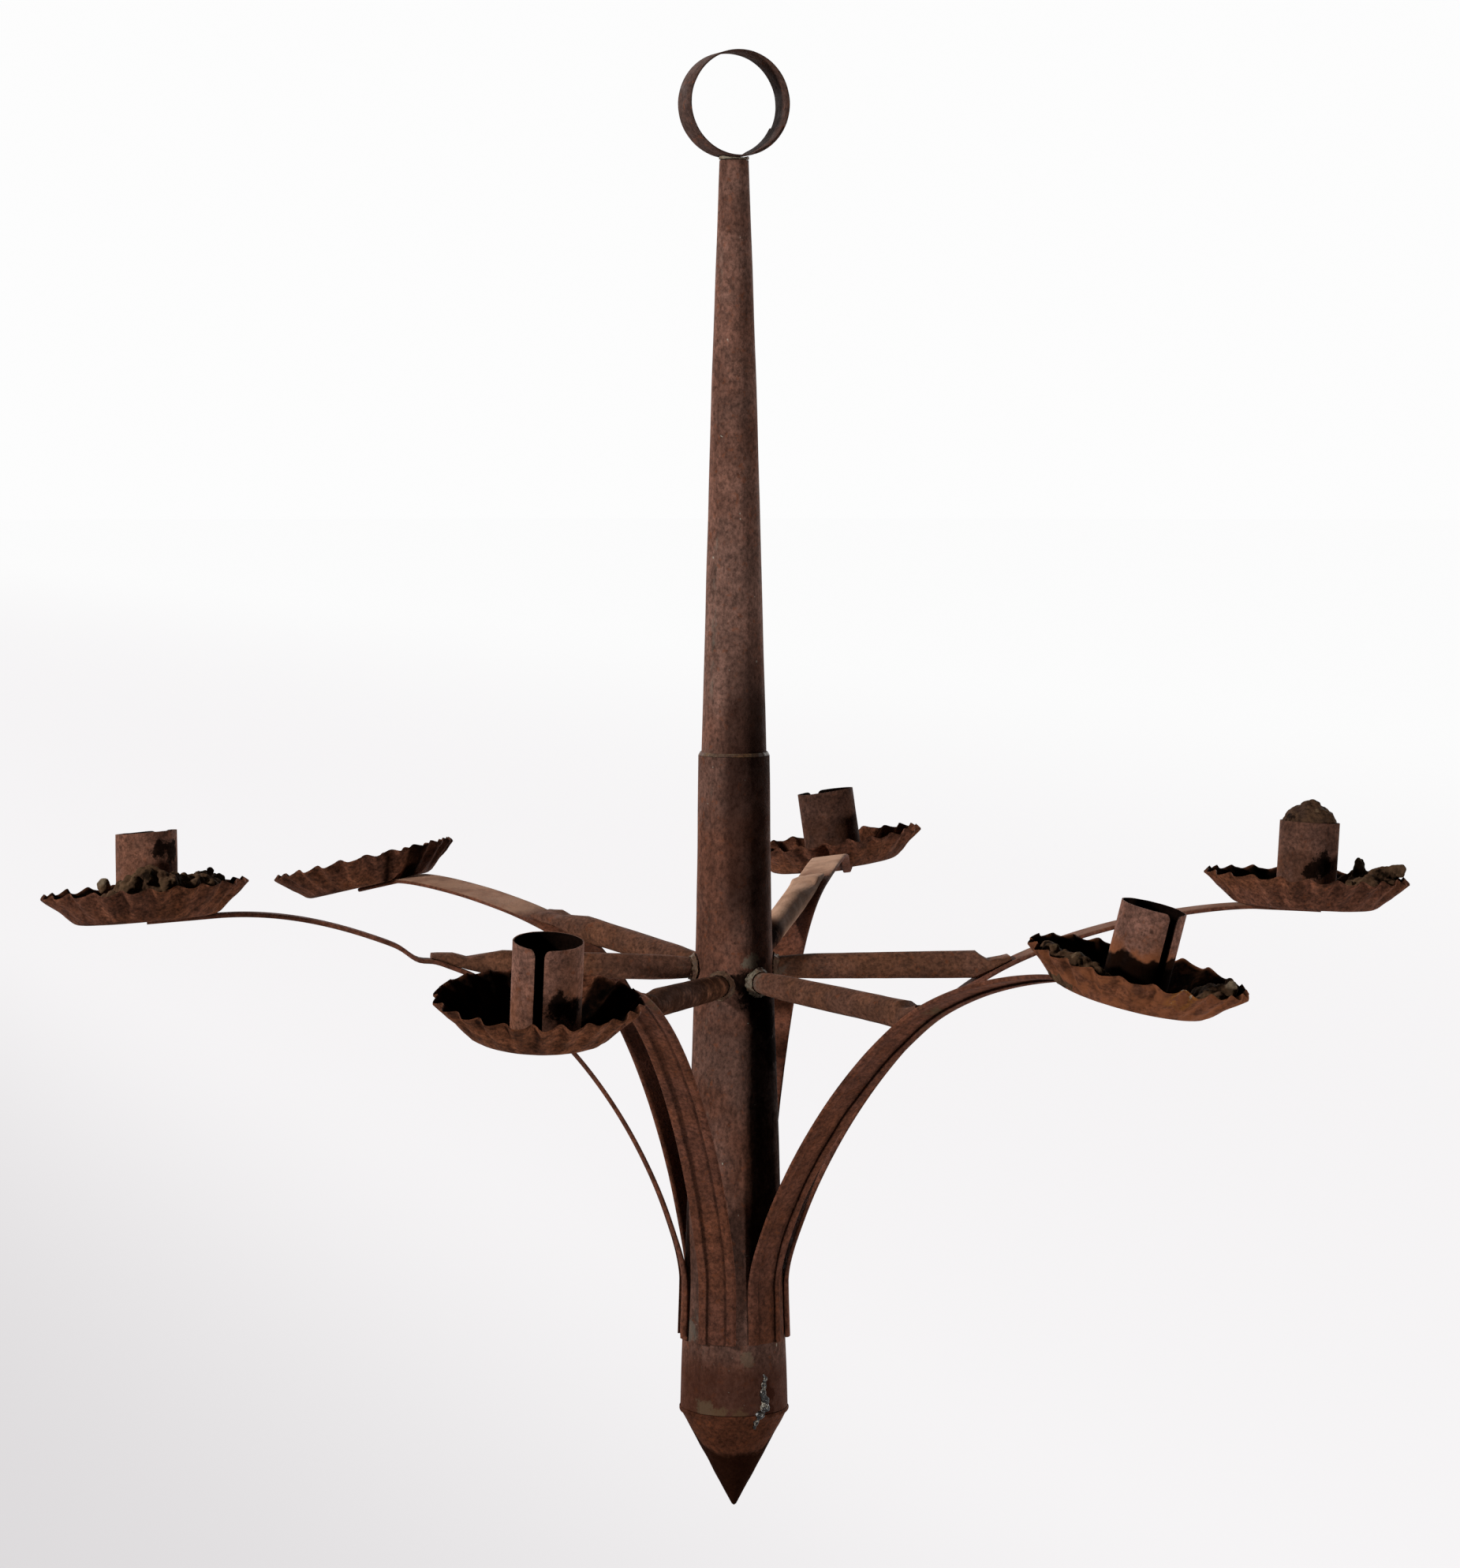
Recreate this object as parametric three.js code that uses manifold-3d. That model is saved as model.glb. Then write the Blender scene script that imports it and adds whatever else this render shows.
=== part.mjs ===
// Six-light hanging chandelier made of rusted sheet tin, in millimetres, +Z up.
// The origin is the hang point, at the top of the hanging ring's bore, and every height is measured
// down from it. Azimuths run from +X towards -Y, which is the side that the chandelier is seen from.
// The whole thing is cut, rolled, crimped and soldered tin, so nothing on it moves.
import * as THREE from 'three';
import { mergeVertices } from 'three/addons/utils/BufferGeometryUtils.js';
import Module from 'manifold-3d';

const wasm = await Module();
wasm.setup();

// Sheet tin and clearances
const TIN = 0.6;
const SEAT_GAP = 0.3;

// Hanging ring, a strip bent round, its inner end lapped at the bottom
const RING_OUTER_DIAMETER = 40.8;
const RING_WIDTH = 15;
const RING_YAW = 20;
const RING_LAP_LENGTH = 16;
const RING_LAP_ANGLE = 242;
const RING_SOLDER_BED = 1.2;
const RING_SOLDER_HEIGHT = 2.6;

// Shaft, two tapered tubes rolled from sheet, the upper one slipped into the lower
const SHAFT_WALL = 0.9;
const SEAM_STEP = 0.4;
const SEAM_AZIMUTH = 130;
const UPPER_TOP_DIAMETER = 11.4;
const UPPER_WAIST_DIAMETER = 17.7;
const UPPER_BOTTOM_DIAMETER = 25.7;
const UPPER_WAIST_DROP = 128;
const COLLAR_DROP = 272;
const COLLAR_OVERLAP = 12;
const HUB_DIAMETER = 29.5;
const HUB_DROP = 334;
const SHAFT_BOTTOM_DIAMETER = 42.8;
const SHAFT_BOTTOM_DROP = 530;

// Bottom cone with its rolled lip
const LIP_PROUD = 0.45;
const LIP_HEIGHT = 1.5;
const CONE_HEIGHT = 40.5;
const CONE_TIP_RADIUS = 1.7;

// Arm strips, with the two long edges hemmed over on the outer face
const STRIP_WIDTH = 15.5;
const HEM_WIDTH = 3.7;
const HEM_THICKNESS = 1.1;
const FOOT_DROP = 502;
const FOOT_LENGTH = 22;
const FOOT_RISE = 25;
const SHOULDER_REACH = 108;
const SHOULDER_LEAD = 60;
const SEAT_LENGTH = 26;
const TWIST_START = 25;
const TWIST_END = 90;
const BEND_LENGTH = 60;

// Brace tubes, rolled from sheet and hammered flat at the outer end
const BRACE_DIAMETER = 10.8;
const BRACE_ROOT_DIAMETER = 8.4;
const FLARE_LENGTH = 14;
const TAB_LENGTH = 14;
const TAB_WIDTH = 12.6;
const TAB_THICKNESS = 2.2;
const FILLET_SPREAD = 2.4;
const FILLET_HEIGHT = 2.8;

// Drip pans, round discs with a crimped, flared wall that starts in a rounded knuckle
const PAN_WALL_SPREAD = 14;
const KNUCKLE_SPREAD = 3.4;
const KNUCKLE_HEIGHT = 1.4;
const PAN_FLUTES = 22;
const FLUTE_DEPTH = 1.2;

// Candle sockets, a strip rolled to a cylinder with an open seam
const SOCKET_SLIT = 3.4;
const SLIT_CORNER = 2.4;

// Burnt-down candle in the right socket
const STUB_DOME = 6.5;

// One entry for each light, as the hand-made arms differ. The azimuth is the root's, and the bend
// swings the tip on from it. Drops are heights below the hang point: of the strip's upper face at
// the tip and at the shoulder, and of the brace's axis at the shaft. The slope is the strip's at the
// shoulder, which it keeps along the trail, and the droop its fall at the tip, which it takes up
// along the lead. The roll tips the pan sideways. The tab reach is the brace's. The pan shift moves
// the pan outwards, and the socket shift the socket across it. A light without a socket diameter
// has lost its socket.
const LIGHTS = [
  {
    name: 'right', azimuth: -6, bend: 0.8, reach: 233, tipDrop: 334, droop: 3.3, roll: 1.8,
    shoulderDrop: 354.9, slope: 25.7, trail: 46, lead: 8, braceDrop: 355.5, tabReach: 110,
    panDiameter: 80, panDepth: 11.5, panShift: -5,
    socketDiameter: 23.6, socketHeight: 33, socketShift: 0, slitAzimuth: 250,
  },
  {
    name: 'front_right', azimuth: 52.9, bend: -0.1, reach: 228, tipDrop: 343.5, droop: 10.5, roll: 8.8,
    shoulderDrop: 366.4, slope: 35, trail: 41, lead: 8, braceDrop: 360, tabReach: 119,
    panDiameter: 78, panDepth: 11.5, panShift: 0,
    socketDiameter: 23, socketHeight: 33, socketShift: 0, slitAzimuth: 57,
  },
  {
    name: 'front_left', azimuth: 109.3, bend: -2.2, reach: 227, tipDrop: 351, droop: 8, roll: 5.4,
    shoulderDrop: 355, slope: 27, trail: 42, lead: 14, braceDrop: 361, tabReach: 112,
    panDiameter: 71, panDepth: 12.7, panShift: 0,
    socketDiameter: 24.4, socketHeight: 33, socketShift: 2.6, slitAzimuth: 107,
  },
  {
    name: 'left', azimuth: 173, bend: 0.4, reach: 228, tipDrop: 333.6, droop: 4.4, roll: -4,
    shoulderDrop: 354, slope: 21, trail: 25, lead: 40, braceDrop: 355.4, tabReach: 119,
    panDiameter: 79, panDepth: 11.5, panShift: 0,
    socketDiameter: 23.7, socketHeight: 33, socketShift: 0, slitAzimuth: 290,
  },
  {
    name: 'back_left', azimuth: 227, bend: -0.2, reach: 230, tipDrop: 341.4, droop: 12.5, roll: 5.8,
    shoulderDrop: 347.4, slope: 15.3, trail: 38, lead: 8, braceDrop: 356.5, tabReach: 117,
    panDiameter: 78, panDepth: 11.5, panShift: 1,
    socketDiameter: 0, socketHeight: 0, socketShift: 0, slitAzimuth: 0,
  },
  {
    name: 'back_right', azimuth: 287, bend: -5.5, reach: 229, tipDrop: 338.6, droop: 1.3, roll: 8.6,
    shoulderDrop: 333.5, slope: 18, trail: 58, lead: 14, braceDrop: 356, tabReach: 112,
    panDiameter: 79, panDepth: 11.5, panShift: 0,
    socketDiameter: 24.8, socketHeight: 33, socketShift: 0, slitAzimuth: 260,
  },
];

// Wax on the pan floors, over part of the turn round a socket
const HEAPS = [
  { name: 'candle_wax_left', light: 'left', from: -20, to: 250, reach: 13, height: 8.5 },
  { name: 'candle_wax_front_right_a', light: 'front_right', from: 170, to: 300, reach: 12, height: 8 },
  { name: 'candle_wax_front_right_b', light: 'front_right', from: 10, to: 100, reach: 12, height: 8 },
  { name: 'candle_wax_right', light: 'right', from: -70, to: 70, reach: 12.5, height: 9.2 },
];

const RUST = 0x4a2c22;
const tin = (color) => new THREE.MeshStandardMaterial({ color, roughness: 0.82, metalness: 0.35 });
const solder = () => new THREE.MeshStandardMaterial({ color: 0x7c7a70, roughness: 0.6, metalness: 0.5 });
const wax = () => new THREE.MeshStandardMaterial({ color: 0x6b5f47, roughness: 0.7, metalness: 0 });

const rad = THREE.MathUtils.degToRad;
const { lerp, smoothstep } = THREE.MathUtils;

// Closed bodies

const DIAGONAL_TIE = 1e-6;

// Joins equal rings of points into one body, each quad split along its shorter diagonal, so that two
// skins of one sheet stay apart. A loop of rings closes on itself like a tube wall, and an open run
// of rings gets a flat cap at each end, whose triangles come from the cap outline.
function skin(rings, { loop = false, capOutline = null } = {}) {
  const count = rings[0].length;
  const points = rings.flat();
  const positions = points.flatMap((p) => [p.x, p.y, p.z]);
  const faces = [];
  const steps = loop ? rings.length : rings.length - 1;
  for (let k = 0; k < steps; k += 1) {
    const here = k * count;
    const next = ((k + 1) % rings.length) * count;
    for (let i = 0; i < count; i += 1) {
      const j = (i + 1) % count;
      const rising = points[here + i].distanceTo(points[next + j]);
      const falling = points[here + j].distanceTo(points[next + i]);
      if (rising < falling + DIAGONAL_TIE) {
        faces.push(here + i, here + j, next + j);
        faces.push(here + i, next + j, next + i);
      } else {
        faces.push(here + i, here + j, next + i);
        faces.push(here + j, next + j, next + i);
      }
    }
  }
  if (!loop) {
    const turned = THREE.ShapeUtils.isClockWise(capOutline);
    const last = (rings.length - 1) * count;
    for (const corners of THREE.ShapeUtils.triangulateShape(capOutline, [])) {
      const [a, b, c] = turned ? [...corners].reverse() : corners;
      faces.push(a, c, b);
      faces.push(last + a, last + b, last + c);
    }
  }
  return facingOut(positions, faces);
}

// Turns every face round when the body comes out inside out.
function facingOut(positions, faces) {
  const at = (i) => new THREE.Vector3().fromArray(positions, i * 3);
  let volume = 0;
  for (let f = 0; f < faces.length; f += 3) {
    volume += at(faces[f]).dot(at(faces[f + 1]).cross(at(faces[f + 2])));
  }
  if (volume < 0) {
    for (let f = 0; f < faces.length; f += 3) {
      [faces[f + 1], faces[f + 2]] = [faces[f + 2], faces[f + 1]];
    }
  }
  const geometry = new THREE.BufferGeometry();
  geometry.setAttribute('position', new THREE.Float32BufferAttribute(positions, 3));
  geometry.setIndex(faces);
  return geometry;
}

function toManifold(geometry) {
  const bare = geometry.clone();
  bare.deleteAttribute('normal');
  bare.deleteAttribute('uv');
  const merged = mergeVertices(bare, 1e-4);
  return new wasm.Manifold(new wasm.Mesh({
    numProp: 3,
    vertProperties: Float32Array.from(merged.attributes.position.array),
    triVerts: Uint32Array.from(merged.index.array),
  }));
}

function fromManifold(solid) {
  const mesh = solid.getMesh();
  const geometry = new THREE.BufferGeometry();
  geometry.setAttribute('position', new THREE.Float32BufferAttribute(mesh.vertProperties, 3));
  geometry.setIndex(Array.from(mesh.triVerts));
  return geometry;
}

function piece(name, geometry, material) {
  const mesh = new THREE.Mesh(geometry, material);
  mesh.name = name;
  return mesh;
}

// Shaft sizes that the other pieces seat on

const ringInnerRadius = RING_OUTER_DIAMETER / 2 - TIN;
const ringCentreZ = -ringInnerRadius;
const shaftTopZ = ringCentreZ - RING_OUTER_DIAMETER / 2 - RING_SOLDER_BED;

const upperStations = [
  [shaftTopZ, UPPER_TOP_DIAMETER / 2],
  [-UPPER_WAIST_DROP, UPPER_WAIST_DIAMETER / 2],
  [-COLLAR_DROP, UPPER_BOTTOM_DIAMETER / 2],
];
const collarBore = UPPER_BOTTOM_DIAMETER / 2 + SEAT_GAP;
const lowerStations = [
  [-COLLAR_DROP, collarBore + SHAFT_WALL],
  [-HUB_DROP, HUB_DIAMETER / 2],
  [-SHAFT_BOTTOM_DROP, SHAFT_BOTTOM_DIAMETER / 2],
];

// Outer radius of the lower shaft at a height.
function shaftRadius(z) {
  const k = z > lowerStations[1][0] ? 0 : 1;
  const [z0, r0] = lowerStations[k];
  const [z1, r1] = lowerStations[k + 1];
  return lerp(r0, r1, (z - z0) / (z1 - z0));
}

// Tapered tube rolled from sheet. The outside has a lap seam: one edge of the sheet lies over the
// other, so the radius drops by the step at the seam and comes back over the next part of the turn.
const SHAFT_SIDES = 32;
const SEAM_BLEND = 54;
const SEAM_EDGE = 0.12;

function rolledShaft(stations) {
  const turn = (i) => (i / SHAFT_SIDES) * 360;
  const fall = (i) => SEAM_STEP * Math.max(0, 1 - turn(i) / SEAM_BLEND);
  const ring = (z, radiusAt) => Array.from({ length: SHAFT_SIDES + 1 }, (_, i) => {
    const side = i < SHAFT_SIDES ? i : SHAFT_SIDES - SEAM_EDGE;
    const angle = rad(SEAM_AZIMUTH + turn(side));
    const radius = radiusAt(i);
    return new THREE.Vector3(radius * Math.cos(angle), -radius * Math.sin(angle), z);
  });
  const outside = stations.map(([z, r]) => ring(z, (i) => r - fall(i)));
  const inside = stations.map(([z, r]) => ring(z, () => r - SHAFT_WALL)).reverse();
  return skin([...outside, ...inside], { loop: true });
}

// Hanging ring with its lap, and the solder that holds it on the shaft

const RING_SIDES = 36;

function hangingRing() {
  const onArc = (radius, angle) => new THREE.Vector2(radius * Math.cos(angle), radius * Math.sin(angle));
  const full = Math.PI * 2;
  const outline = Array.from({ length: RING_SIDES }, (_, i) => {
    return onArc(RING_OUTER_DIAMETER / 2, (i / RING_SIDES) * full);
  });
  const lapStart = rad(RING_LAP_ANGLE);
  const lapTurn = RING_LAP_LENGTH / ringInnerRadius;
  const lapSides = 4;
  const bore = [];
  for (let i = 0; i < lapSides; i += 1) {
    const along = i / lapSides;
    bore.push(onArc(ringInnerRadius - TIN * (1 - along), lapStart + lapTurn * along));
  }
  for (let i = 0; i <= RING_SIDES; i += 1) {
    bore.push(onArc(ringInnerRadius, lapStart + lerp(lapTurn, full, i / RING_SIDES)));
  }
  const shape = new THREE.Shape(outline);
  shape.holes.push(new THREE.Path(bore));
  const geometry = new THREE.ExtrudeGeometry(shape, { depth: RING_WIDTH, bevelEnabled: false });
  geometry.translate(0, 0, -RING_WIDTH / 2);
  geometry.rotateX(Math.PI / 2);
  const ring = piece('hanging_ring', geometry, tin(RUST));
  ring.position.z = ringCentreZ;
  ring.rotation.z = rad(RING_YAW);
  return ring;
}

function ringSolder() {
  const radius = UPPER_TOP_DIAMETER / 2 + SEAT_GAP;
  const base = shaftTopZ + SEAT_GAP;
  const blob = new THREE.LatheGeometry([
    new THREE.Vector2(0, base),
    new THREE.Vector2(radius, base),
    new THREE.Vector2(radius * 0.97, base + RING_SOLDER_HEIGHT * 0.5),
    new THREE.Vector2(radius * 0.8, base + RING_SOLDER_HEIGHT),
    new THREE.Vector2(0, base + RING_SOLDER_HEIGHT),
  ], 24);
  blob.rotateX(Math.PI / 2);
  const ringEnvelope = new THREE.CylinderGeometry(1, 1, RING_WIDTH * 2, RING_SIDES);
  const cutRadius = RING_OUTER_DIAMETER / 2 + SEAT_GAP;
  ringEnvelope.scale(cutRadius, 1, cutRadius);
  ringEnvelope.translate(0, 0, ringCentreZ);
  ringEnvelope.rotateZ(rad(RING_YAW));
  const saddle = toManifold(blob).subtract(toManifold(ringEnvelope));
  return piece('ring_solder', fromManifold(saddle), solder());
}

// A bead of solder on the collar, where the upper tube goes into the lower one.
function collarSolder() {
  const inner = UPPER_BOTTOM_DIAMETER / 2 + SEAT_GAP * 0.6;
  const z = -COLLAR_DROP + SEAT_GAP * 0.6;
  const outer = collarBore + SHAFT_WALL * 0.9;
  const geometry = new THREE.LatheGeometry([
    new THREE.Vector2(inner, z),
    new THREE.Vector2(outer, z),
    new THREE.Vector2(inner + 0.2, z + 1.3),
    new THREE.Vector2(inner, z),
  ], 24);
  geometry.rotateX(Math.PI / 2);
  return piece('collar_solder', geometry, solder());
}

// Bottom cone, a hollow cone of sheet with a small lip under the shaft's end.
function bottomCone() {
  const lipRadius = SHAFT_BOTTOM_DIAMETER / 2 + LIP_PROUD;
  const top = -SHAFT_BOTTOM_DROP - SEAT_GAP;
  const shoulder = top - LIP_HEIGHT;
  const tip = top - CONE_HEIGHT;
  const wall = TIN * 2;
  const outline = [
    [0, tip],
    [CONE_TIP_RADIUS, tip + CONE_TIP_RADIUS],
    [lipRadius - wall, shoulder - TIN],
    [lipRadius, shoulder],
    [lipRadius, top],
    [lipRadius - wall, top],
    [0, tip + CONE_TIP_RADIUS + wall * 2],
  ];
  const geometry = new THREE.LatheGeometry(outline.map(([r, z]) => new THREE.Vector2(r, z)), SHAFT_SIDES);
  geometry.rotateX(Math.PI / 2);
  return piece('bottom_cone', geometry, tin(0x40261e));
}

// Arm, in its own frame: X outwards, Y across the arm, Z up

// Centre line of the strip's upper face, as curves that join end to end: up the shaft, out under the
// brace, over the shoulder, and straight below the pan.
function armPath(light) {
  const shaftFace = (z) => new THREE.Vector2(shaftRadius(z) + SEAT_GAP, z);
  const ray = (degrees, length) => {
    return new THREE.Vector2(Math.cos(rad(degrees)), Math.sin(rad(degrees))).multiplyScalar(length);
  };
  const foot = shaftFace(-FOOT_DROP);
  const footTop = shaftFace(-FOOT_DROP + FOOT_LENGTH);
  const shoulder = new THREE.Vector2(SHOULDER_REACH, -light.shoulderDrop);
  const tip = new THREE.Vector2(light.reach, -light.tipDrop);
  const seat = tip.clone().sub(ray(-light.droop, SEAT_LENGTH));
  return {
    foot: new THREE.LineCurve(foot, footTop),
    lower: new THREE.CubicBezierCurve(
      footTop,
      footTop.clone().add(ray(90, FOOT_RISE)),
      shoulder.clone().sub(ray(light.slope, SHOULDER_LEAD)),
      shoulder,
    ),
    upper: new THREE.CubicBezierCurve(
      shoulder,
      shoulder.clone().add(ray(light.slope, light.trail)),
      seat.clone().sub(ray(-light.droop, light.lead)),
      seat,
    ),
    seat: new THREE.LineCurve(seat, tip),
  };
}

// Place and directions of the strip's upper face on one of its curves. The bend swings the arm
// sideways outboard of the shoulder, and the roll turns the face before it reaches the pan.
function armFrame(light, curve, t) {
  const flat = curve.getPoint(t);
  const tangent = curve.getTangent(t);
  const straight = light.reach - SHOULDER_REACH - BEND_LENGTH / 2;
  const bendSlope = (Math.tan(rad(-light.bend)) * light.reach) / straight;
  const outboard = Math.max(0, flat.x - SHOULDER_REACH);
  const bent = Math.min(outboard, BEND_LENGTH);
  const swing = bendSlope * (bent ** 2 / (2 * BEND_LENGTH) + outboard - bent);
  const sway = (bendSlope * bent) / BEND_LENGTH;
  const along = new THREE.Vector3(tangent.x, sway * tangent.x, tangent.y).normalize();
  const across = new THREE.Vector3(0, 1, 0).addScaledVector(along, -along.y).normalize();
  across.applyAxisAngle(along, rad(-light.roll) * smoothstep(flat.x, TWIST_START, TWIST_END));
  const up = new THREE.Vector3().crossVectors(along, across);
  return { place: new THREE.Vector3(flat.x, swing, flat.y), along, across, up };
}

// Frame of the strip where its centre line is at a distance from the shaft's axis.
function frameAtReach(light, path, reach) {
  const curve = reach < SHOULDER_REACH ? path.lower : path.upper;
  let inner = 0;
  let outer = 1;
  for (let k = 0; k < 24; k += 1) {
    const middle = (inner + outer) / 2;
    if (curve.getPoint(middle).x < reach) {
      inner = middle;
    } else {
      outer = middle;
    }
  }
  return armFrame(light, curve, inner);
}

function armStrip(light, path) {
  const half = STRIP_WIDTH / 2;
  const inner = half - HEM_WIDTH;
  const deep = TIN + HEM_THICKNESS;
  const section = [
    [-half, 0], [-inner, 0], [0, 0], [inner, 0], [half, 0],
    [half, -deep], [inner, -deep], [inner, -TIN], [0, -TIN], [-inner, -TIN], [-inner, -deep], [-half, -deep],
  ];
  const along = (curve, steps) => Array.from({ length: steps }, (_, k) => [curve, k / steps]);
  const stations = [
    ...along(path.foot, 2), ...along(path.lower, 9), ...along(path.upper, 7), [path.seat, 0], [path.seat, 1],
  ];
  const rings = stations.map(([curve, t]) => {
    const { place, across, up } = armFrame(light, curve, t);
    const radius = shaftRadius(Math.max(place.z, -SHAFT_BOTTOM_DROP));
    const hug = 1 - smoothstep(place.z, -FOOT_DROP + FOOT_LENGTH * 0.5, -FOOT_DROP + FOOT_LENGTH * 2.2);
    return section.map(([u, v]) => {
      const dish = hug * (radius - Math.sqrt(radius * radius - u * u));
      return place.clone().addScaledVector(across, u).addScaledVector(up, v + dish);
    });
  });
  const capOutline = section.map(([u, v]) => new THREE.Vector2(u, v));
  return piece(`arm_strip_${light.name}`, skin(rings, { capOutline }), tin(RUST));
}

// Brace tube: level from the shaft, open at its root, and hammered down to a tab on the strip.
function armBrace(light, path) {
  const sides = 12;
  const radius = BRACE_DIAMETER / 2;
  const onStrip = (beforeTip, wide, high) => {
    const { place, across, up } = frameAtReach(light, path, light.tabReach - beforeTip);
    place.addScaledVector(up, SEAT_GAP + high);
    return { place, across, up, wide, high };
  };
  const rootZ = -light.braceDrop;
  const rootX = shaftRadius(rootZ) + SEAT_GAP;
  const strip = frameAtReach(light, path, light.tabReach - TAB_LENGTH).place;
  const touchZ = strip.z + SEAT_GAP * 2;
  const squash = THREE.MathUtils.clamp((rootZ + radius - touchZ) / 2, radius * 0.45, radius);
  const upright = (x, z, wide, high) => ({
    place: new THREE.Vector3(x, 0, z),
    across: new THREE.Vector3(0, 1, 0),
    up: new THREE.Vector3(0, 0, 1),
    wide,
    high,
  });
  const root = BRACE_ROOT_DIAMETER / 2;
  const tube = [
    upright(rootX, rootZ, root - 1, root - 1),
    upright(rootX + 3, rootZ, root, root),
    upright(rootX + 16, lerp(rootZ, touchZ + squash, 0.15), radius - 0.4, radius - 0.4),
    upright(strip.x - FLARE_LENGTH, lerp(rootZ, touchZ + squash, 0.8), radius, radius),
    upright(strip.x, touchZ + squash, lerp(TAB_WIDTH / 2, radius, squash / radius), squash),
  ];
  const tab = [
    onStrip(TAB_LENGTH * 0.5, TAB_WIDTH / 2, radius * 0.42),
    onStrip(0, TAB_WIDTH / 2 - 0.5, TAB_THICKNESS / 2),
  ];
  const turn = (i) => ((i + 0.5) / sides) * Math.PI * 2;
  const ring = ({ place, across, up, wide, high }, inset) => Array.from({ length: sides }, (_, i) => {
    const u = (wide - inset) * Math.cos(turn(i));
    const v = (high - inset) * Math.sin(turn(i));
    return place.clone().addScaledVector(across, u).addScaledVector(up, v);
  });
  const outside = [...tube, ...tab].reverse().map((station) => ring(station, 0));
  const inside = tube.map((station) => ring(station, TIN));
  const capOutline = Array.from({ length: sides }, (_, i) => {
    return new THREE.Vector2(Math.cos(turn(i)), Math.sin(turn(i)));
  });
  return piece(`arm_brace_${light.name}`, skin([...outside, ...inside], { capOutline }), tin(RUST));
}

// Solder fillet round the brace's root, seated on the shaft's round side and on the tube.
function braceSolder(light) {
  const rootZ = -light.braceDrop;
  const sides = 14;
  const tube = BRACE_ROOT_DIAMETER / 2;
  const corners = [
    { radius: tube + SEAT_GAP - 1, lift: 0 },
    { radius: tube + FILLET_SPREAD, lift: 0 },
    { radius: tube + FILLET_SPREAD * 0.7, lift: FILLET_HEIGHT * 0.25 },
    { radius: tube + SEAT_GAP, lift: FILLET_HEIGHT },
  ];
  const rings = Array.from({ length: sides }, (_, i) => {
    const angle = (i / sides) * Math.PI * 2;
    return corners.map(({ radius, lift }) => {
      const y = radius * Math.cos(angle);
      const z = rootZ + radius * Math.sin(angle);
      const shaft = shaftRadius(z) + SEAT_GAP;
      return new THREE.Vector3(Math.sqrt(shaft * shaft - y * y) + lift, y, z);
    });
  });
  return piece(`brace_solder_${light.name}`, skin(rings, { loop: true }), solder());
}

// Light, in the frame of the arm's tip: the pan's underside lies on the strip

// Crimped drip pan: a flat floor, a knuckle and a flared wall whose flutes grow from it to the rim.
function dripPan(light) {
  const perFlute = 4;
  const samples = PAN_FLUTES * perFlute;
  const rimRadius = light.panDiameter / 2;
  const floorRadius = rimRadius - PAN_WALL_SPREAD;
  const slant = Math.atan2(light.panDepth - KNUCKLE_HEIGHT, PAN_WALL_SPREAD - KNUCKLE_SPREAD);
  const level = (radius, z, fluteDepth) => Array.from({ length: samples }, (_, i) => {
    const angle = (i / samples) * Math.PI * 2;
    const push = fluteDepth * Math.SQRT2 * Math.sin(((i + 0.5) / perFlute) * Math.PI * 2);
    const r = radius + push * Math.sin(slant);
    return new THREE.Vector3(r * Math.cos(angle), r * Math.sin(angle), z - push * Math.cos(slant));
  });
  const profile = (lift) => [
    level(floorRadius, lift, 0),
    level(floorRadius + KNUCKLE_SPREAD, KNUCKLE_HEIGHT + lift, 0.1 * FLUTE_DEPTH),
    level(rimRadius, light.panDepth + lift, FLUTE_DEPTH),
  ];
  const rings = [...profile(0), ...profile(TIN).reverse()];
  const capOutline = rings[0].map((p) => new THREE.Vector2(p.x, p.y));
  return piece(`drip_pan_${light.name}`, skin(rings, { capOutline }), tin(0x55301f));
}

// Rolled socket with an open seam and rounded corners at the top of the slit.
function candleSocket(light) {
  const sides = 20;
  const outer = light.socketDiameter / 2;
  const half = SOCKET_SLIT / 2 / outer;
  const forward = Array.from({ length: sides + 1 }, (_, i) => i);
  const backward = [...forward].reverse();
  const arc = (radius, order, heightAt) => order.map((i) => {
    const angle = half + (i / sides) * (Math.PI * 2 - 2 * half);
    return new THREE.Vector3(radius * Math.cos(angle), radius * Math.sin(angle), heightAt(i));
  });
  const outline = (heightAt) => [...arc(outer, forward, heightAt), ...arc(outer - TIN, backward, heightAt)];
  const topAt = (i) => light.socketHeight - (i === 0 || i === sides ? SLIT_CORNER : 0);
  const rings = [outline(() => 0), outline(topAt)];
  const capOutline = rings[0].map((p) => new THREE.Vector2(p.x, p.y));
  const mesh = piece(`candle_socket_${light.name}`, skin(rings, { capOutline }), tin(RUST));
  mesh.rotation.z = rad(light.azimuth - light.slitAzimuth);
  mesh.position.y = light.socketShift;
  return mesh;
}

// Candle burnt down to the socket's edge, with a slumped dome of wax on top.
function candleStub(light) {
  const radius = light.socketDiameter / 2 - TIN - SEAT_GAP;
  const geometry = new THREE.LatheGeometry([
    new THREE.Vector2(0, 0),
    new THREE.Vector2(radius, 0),
    new THREE.Vector2(radius, light.socketHeight),
    new THREE.Vector2(radius * 0.86, light.socketHeight + STUB_DOME * 0.5),
    new THREE.Vector2(radius * 0.5, light.socketHeight + STUB_DOME * 0.9),
    new THREE.Vector2(0, light.socketHeight + STUB_DOME),
  ], 20);
  geometry.rotateX(Math.PI / 2);
  return piece(`candle_stub_${light.name}`, geometry, wax());
}

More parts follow.
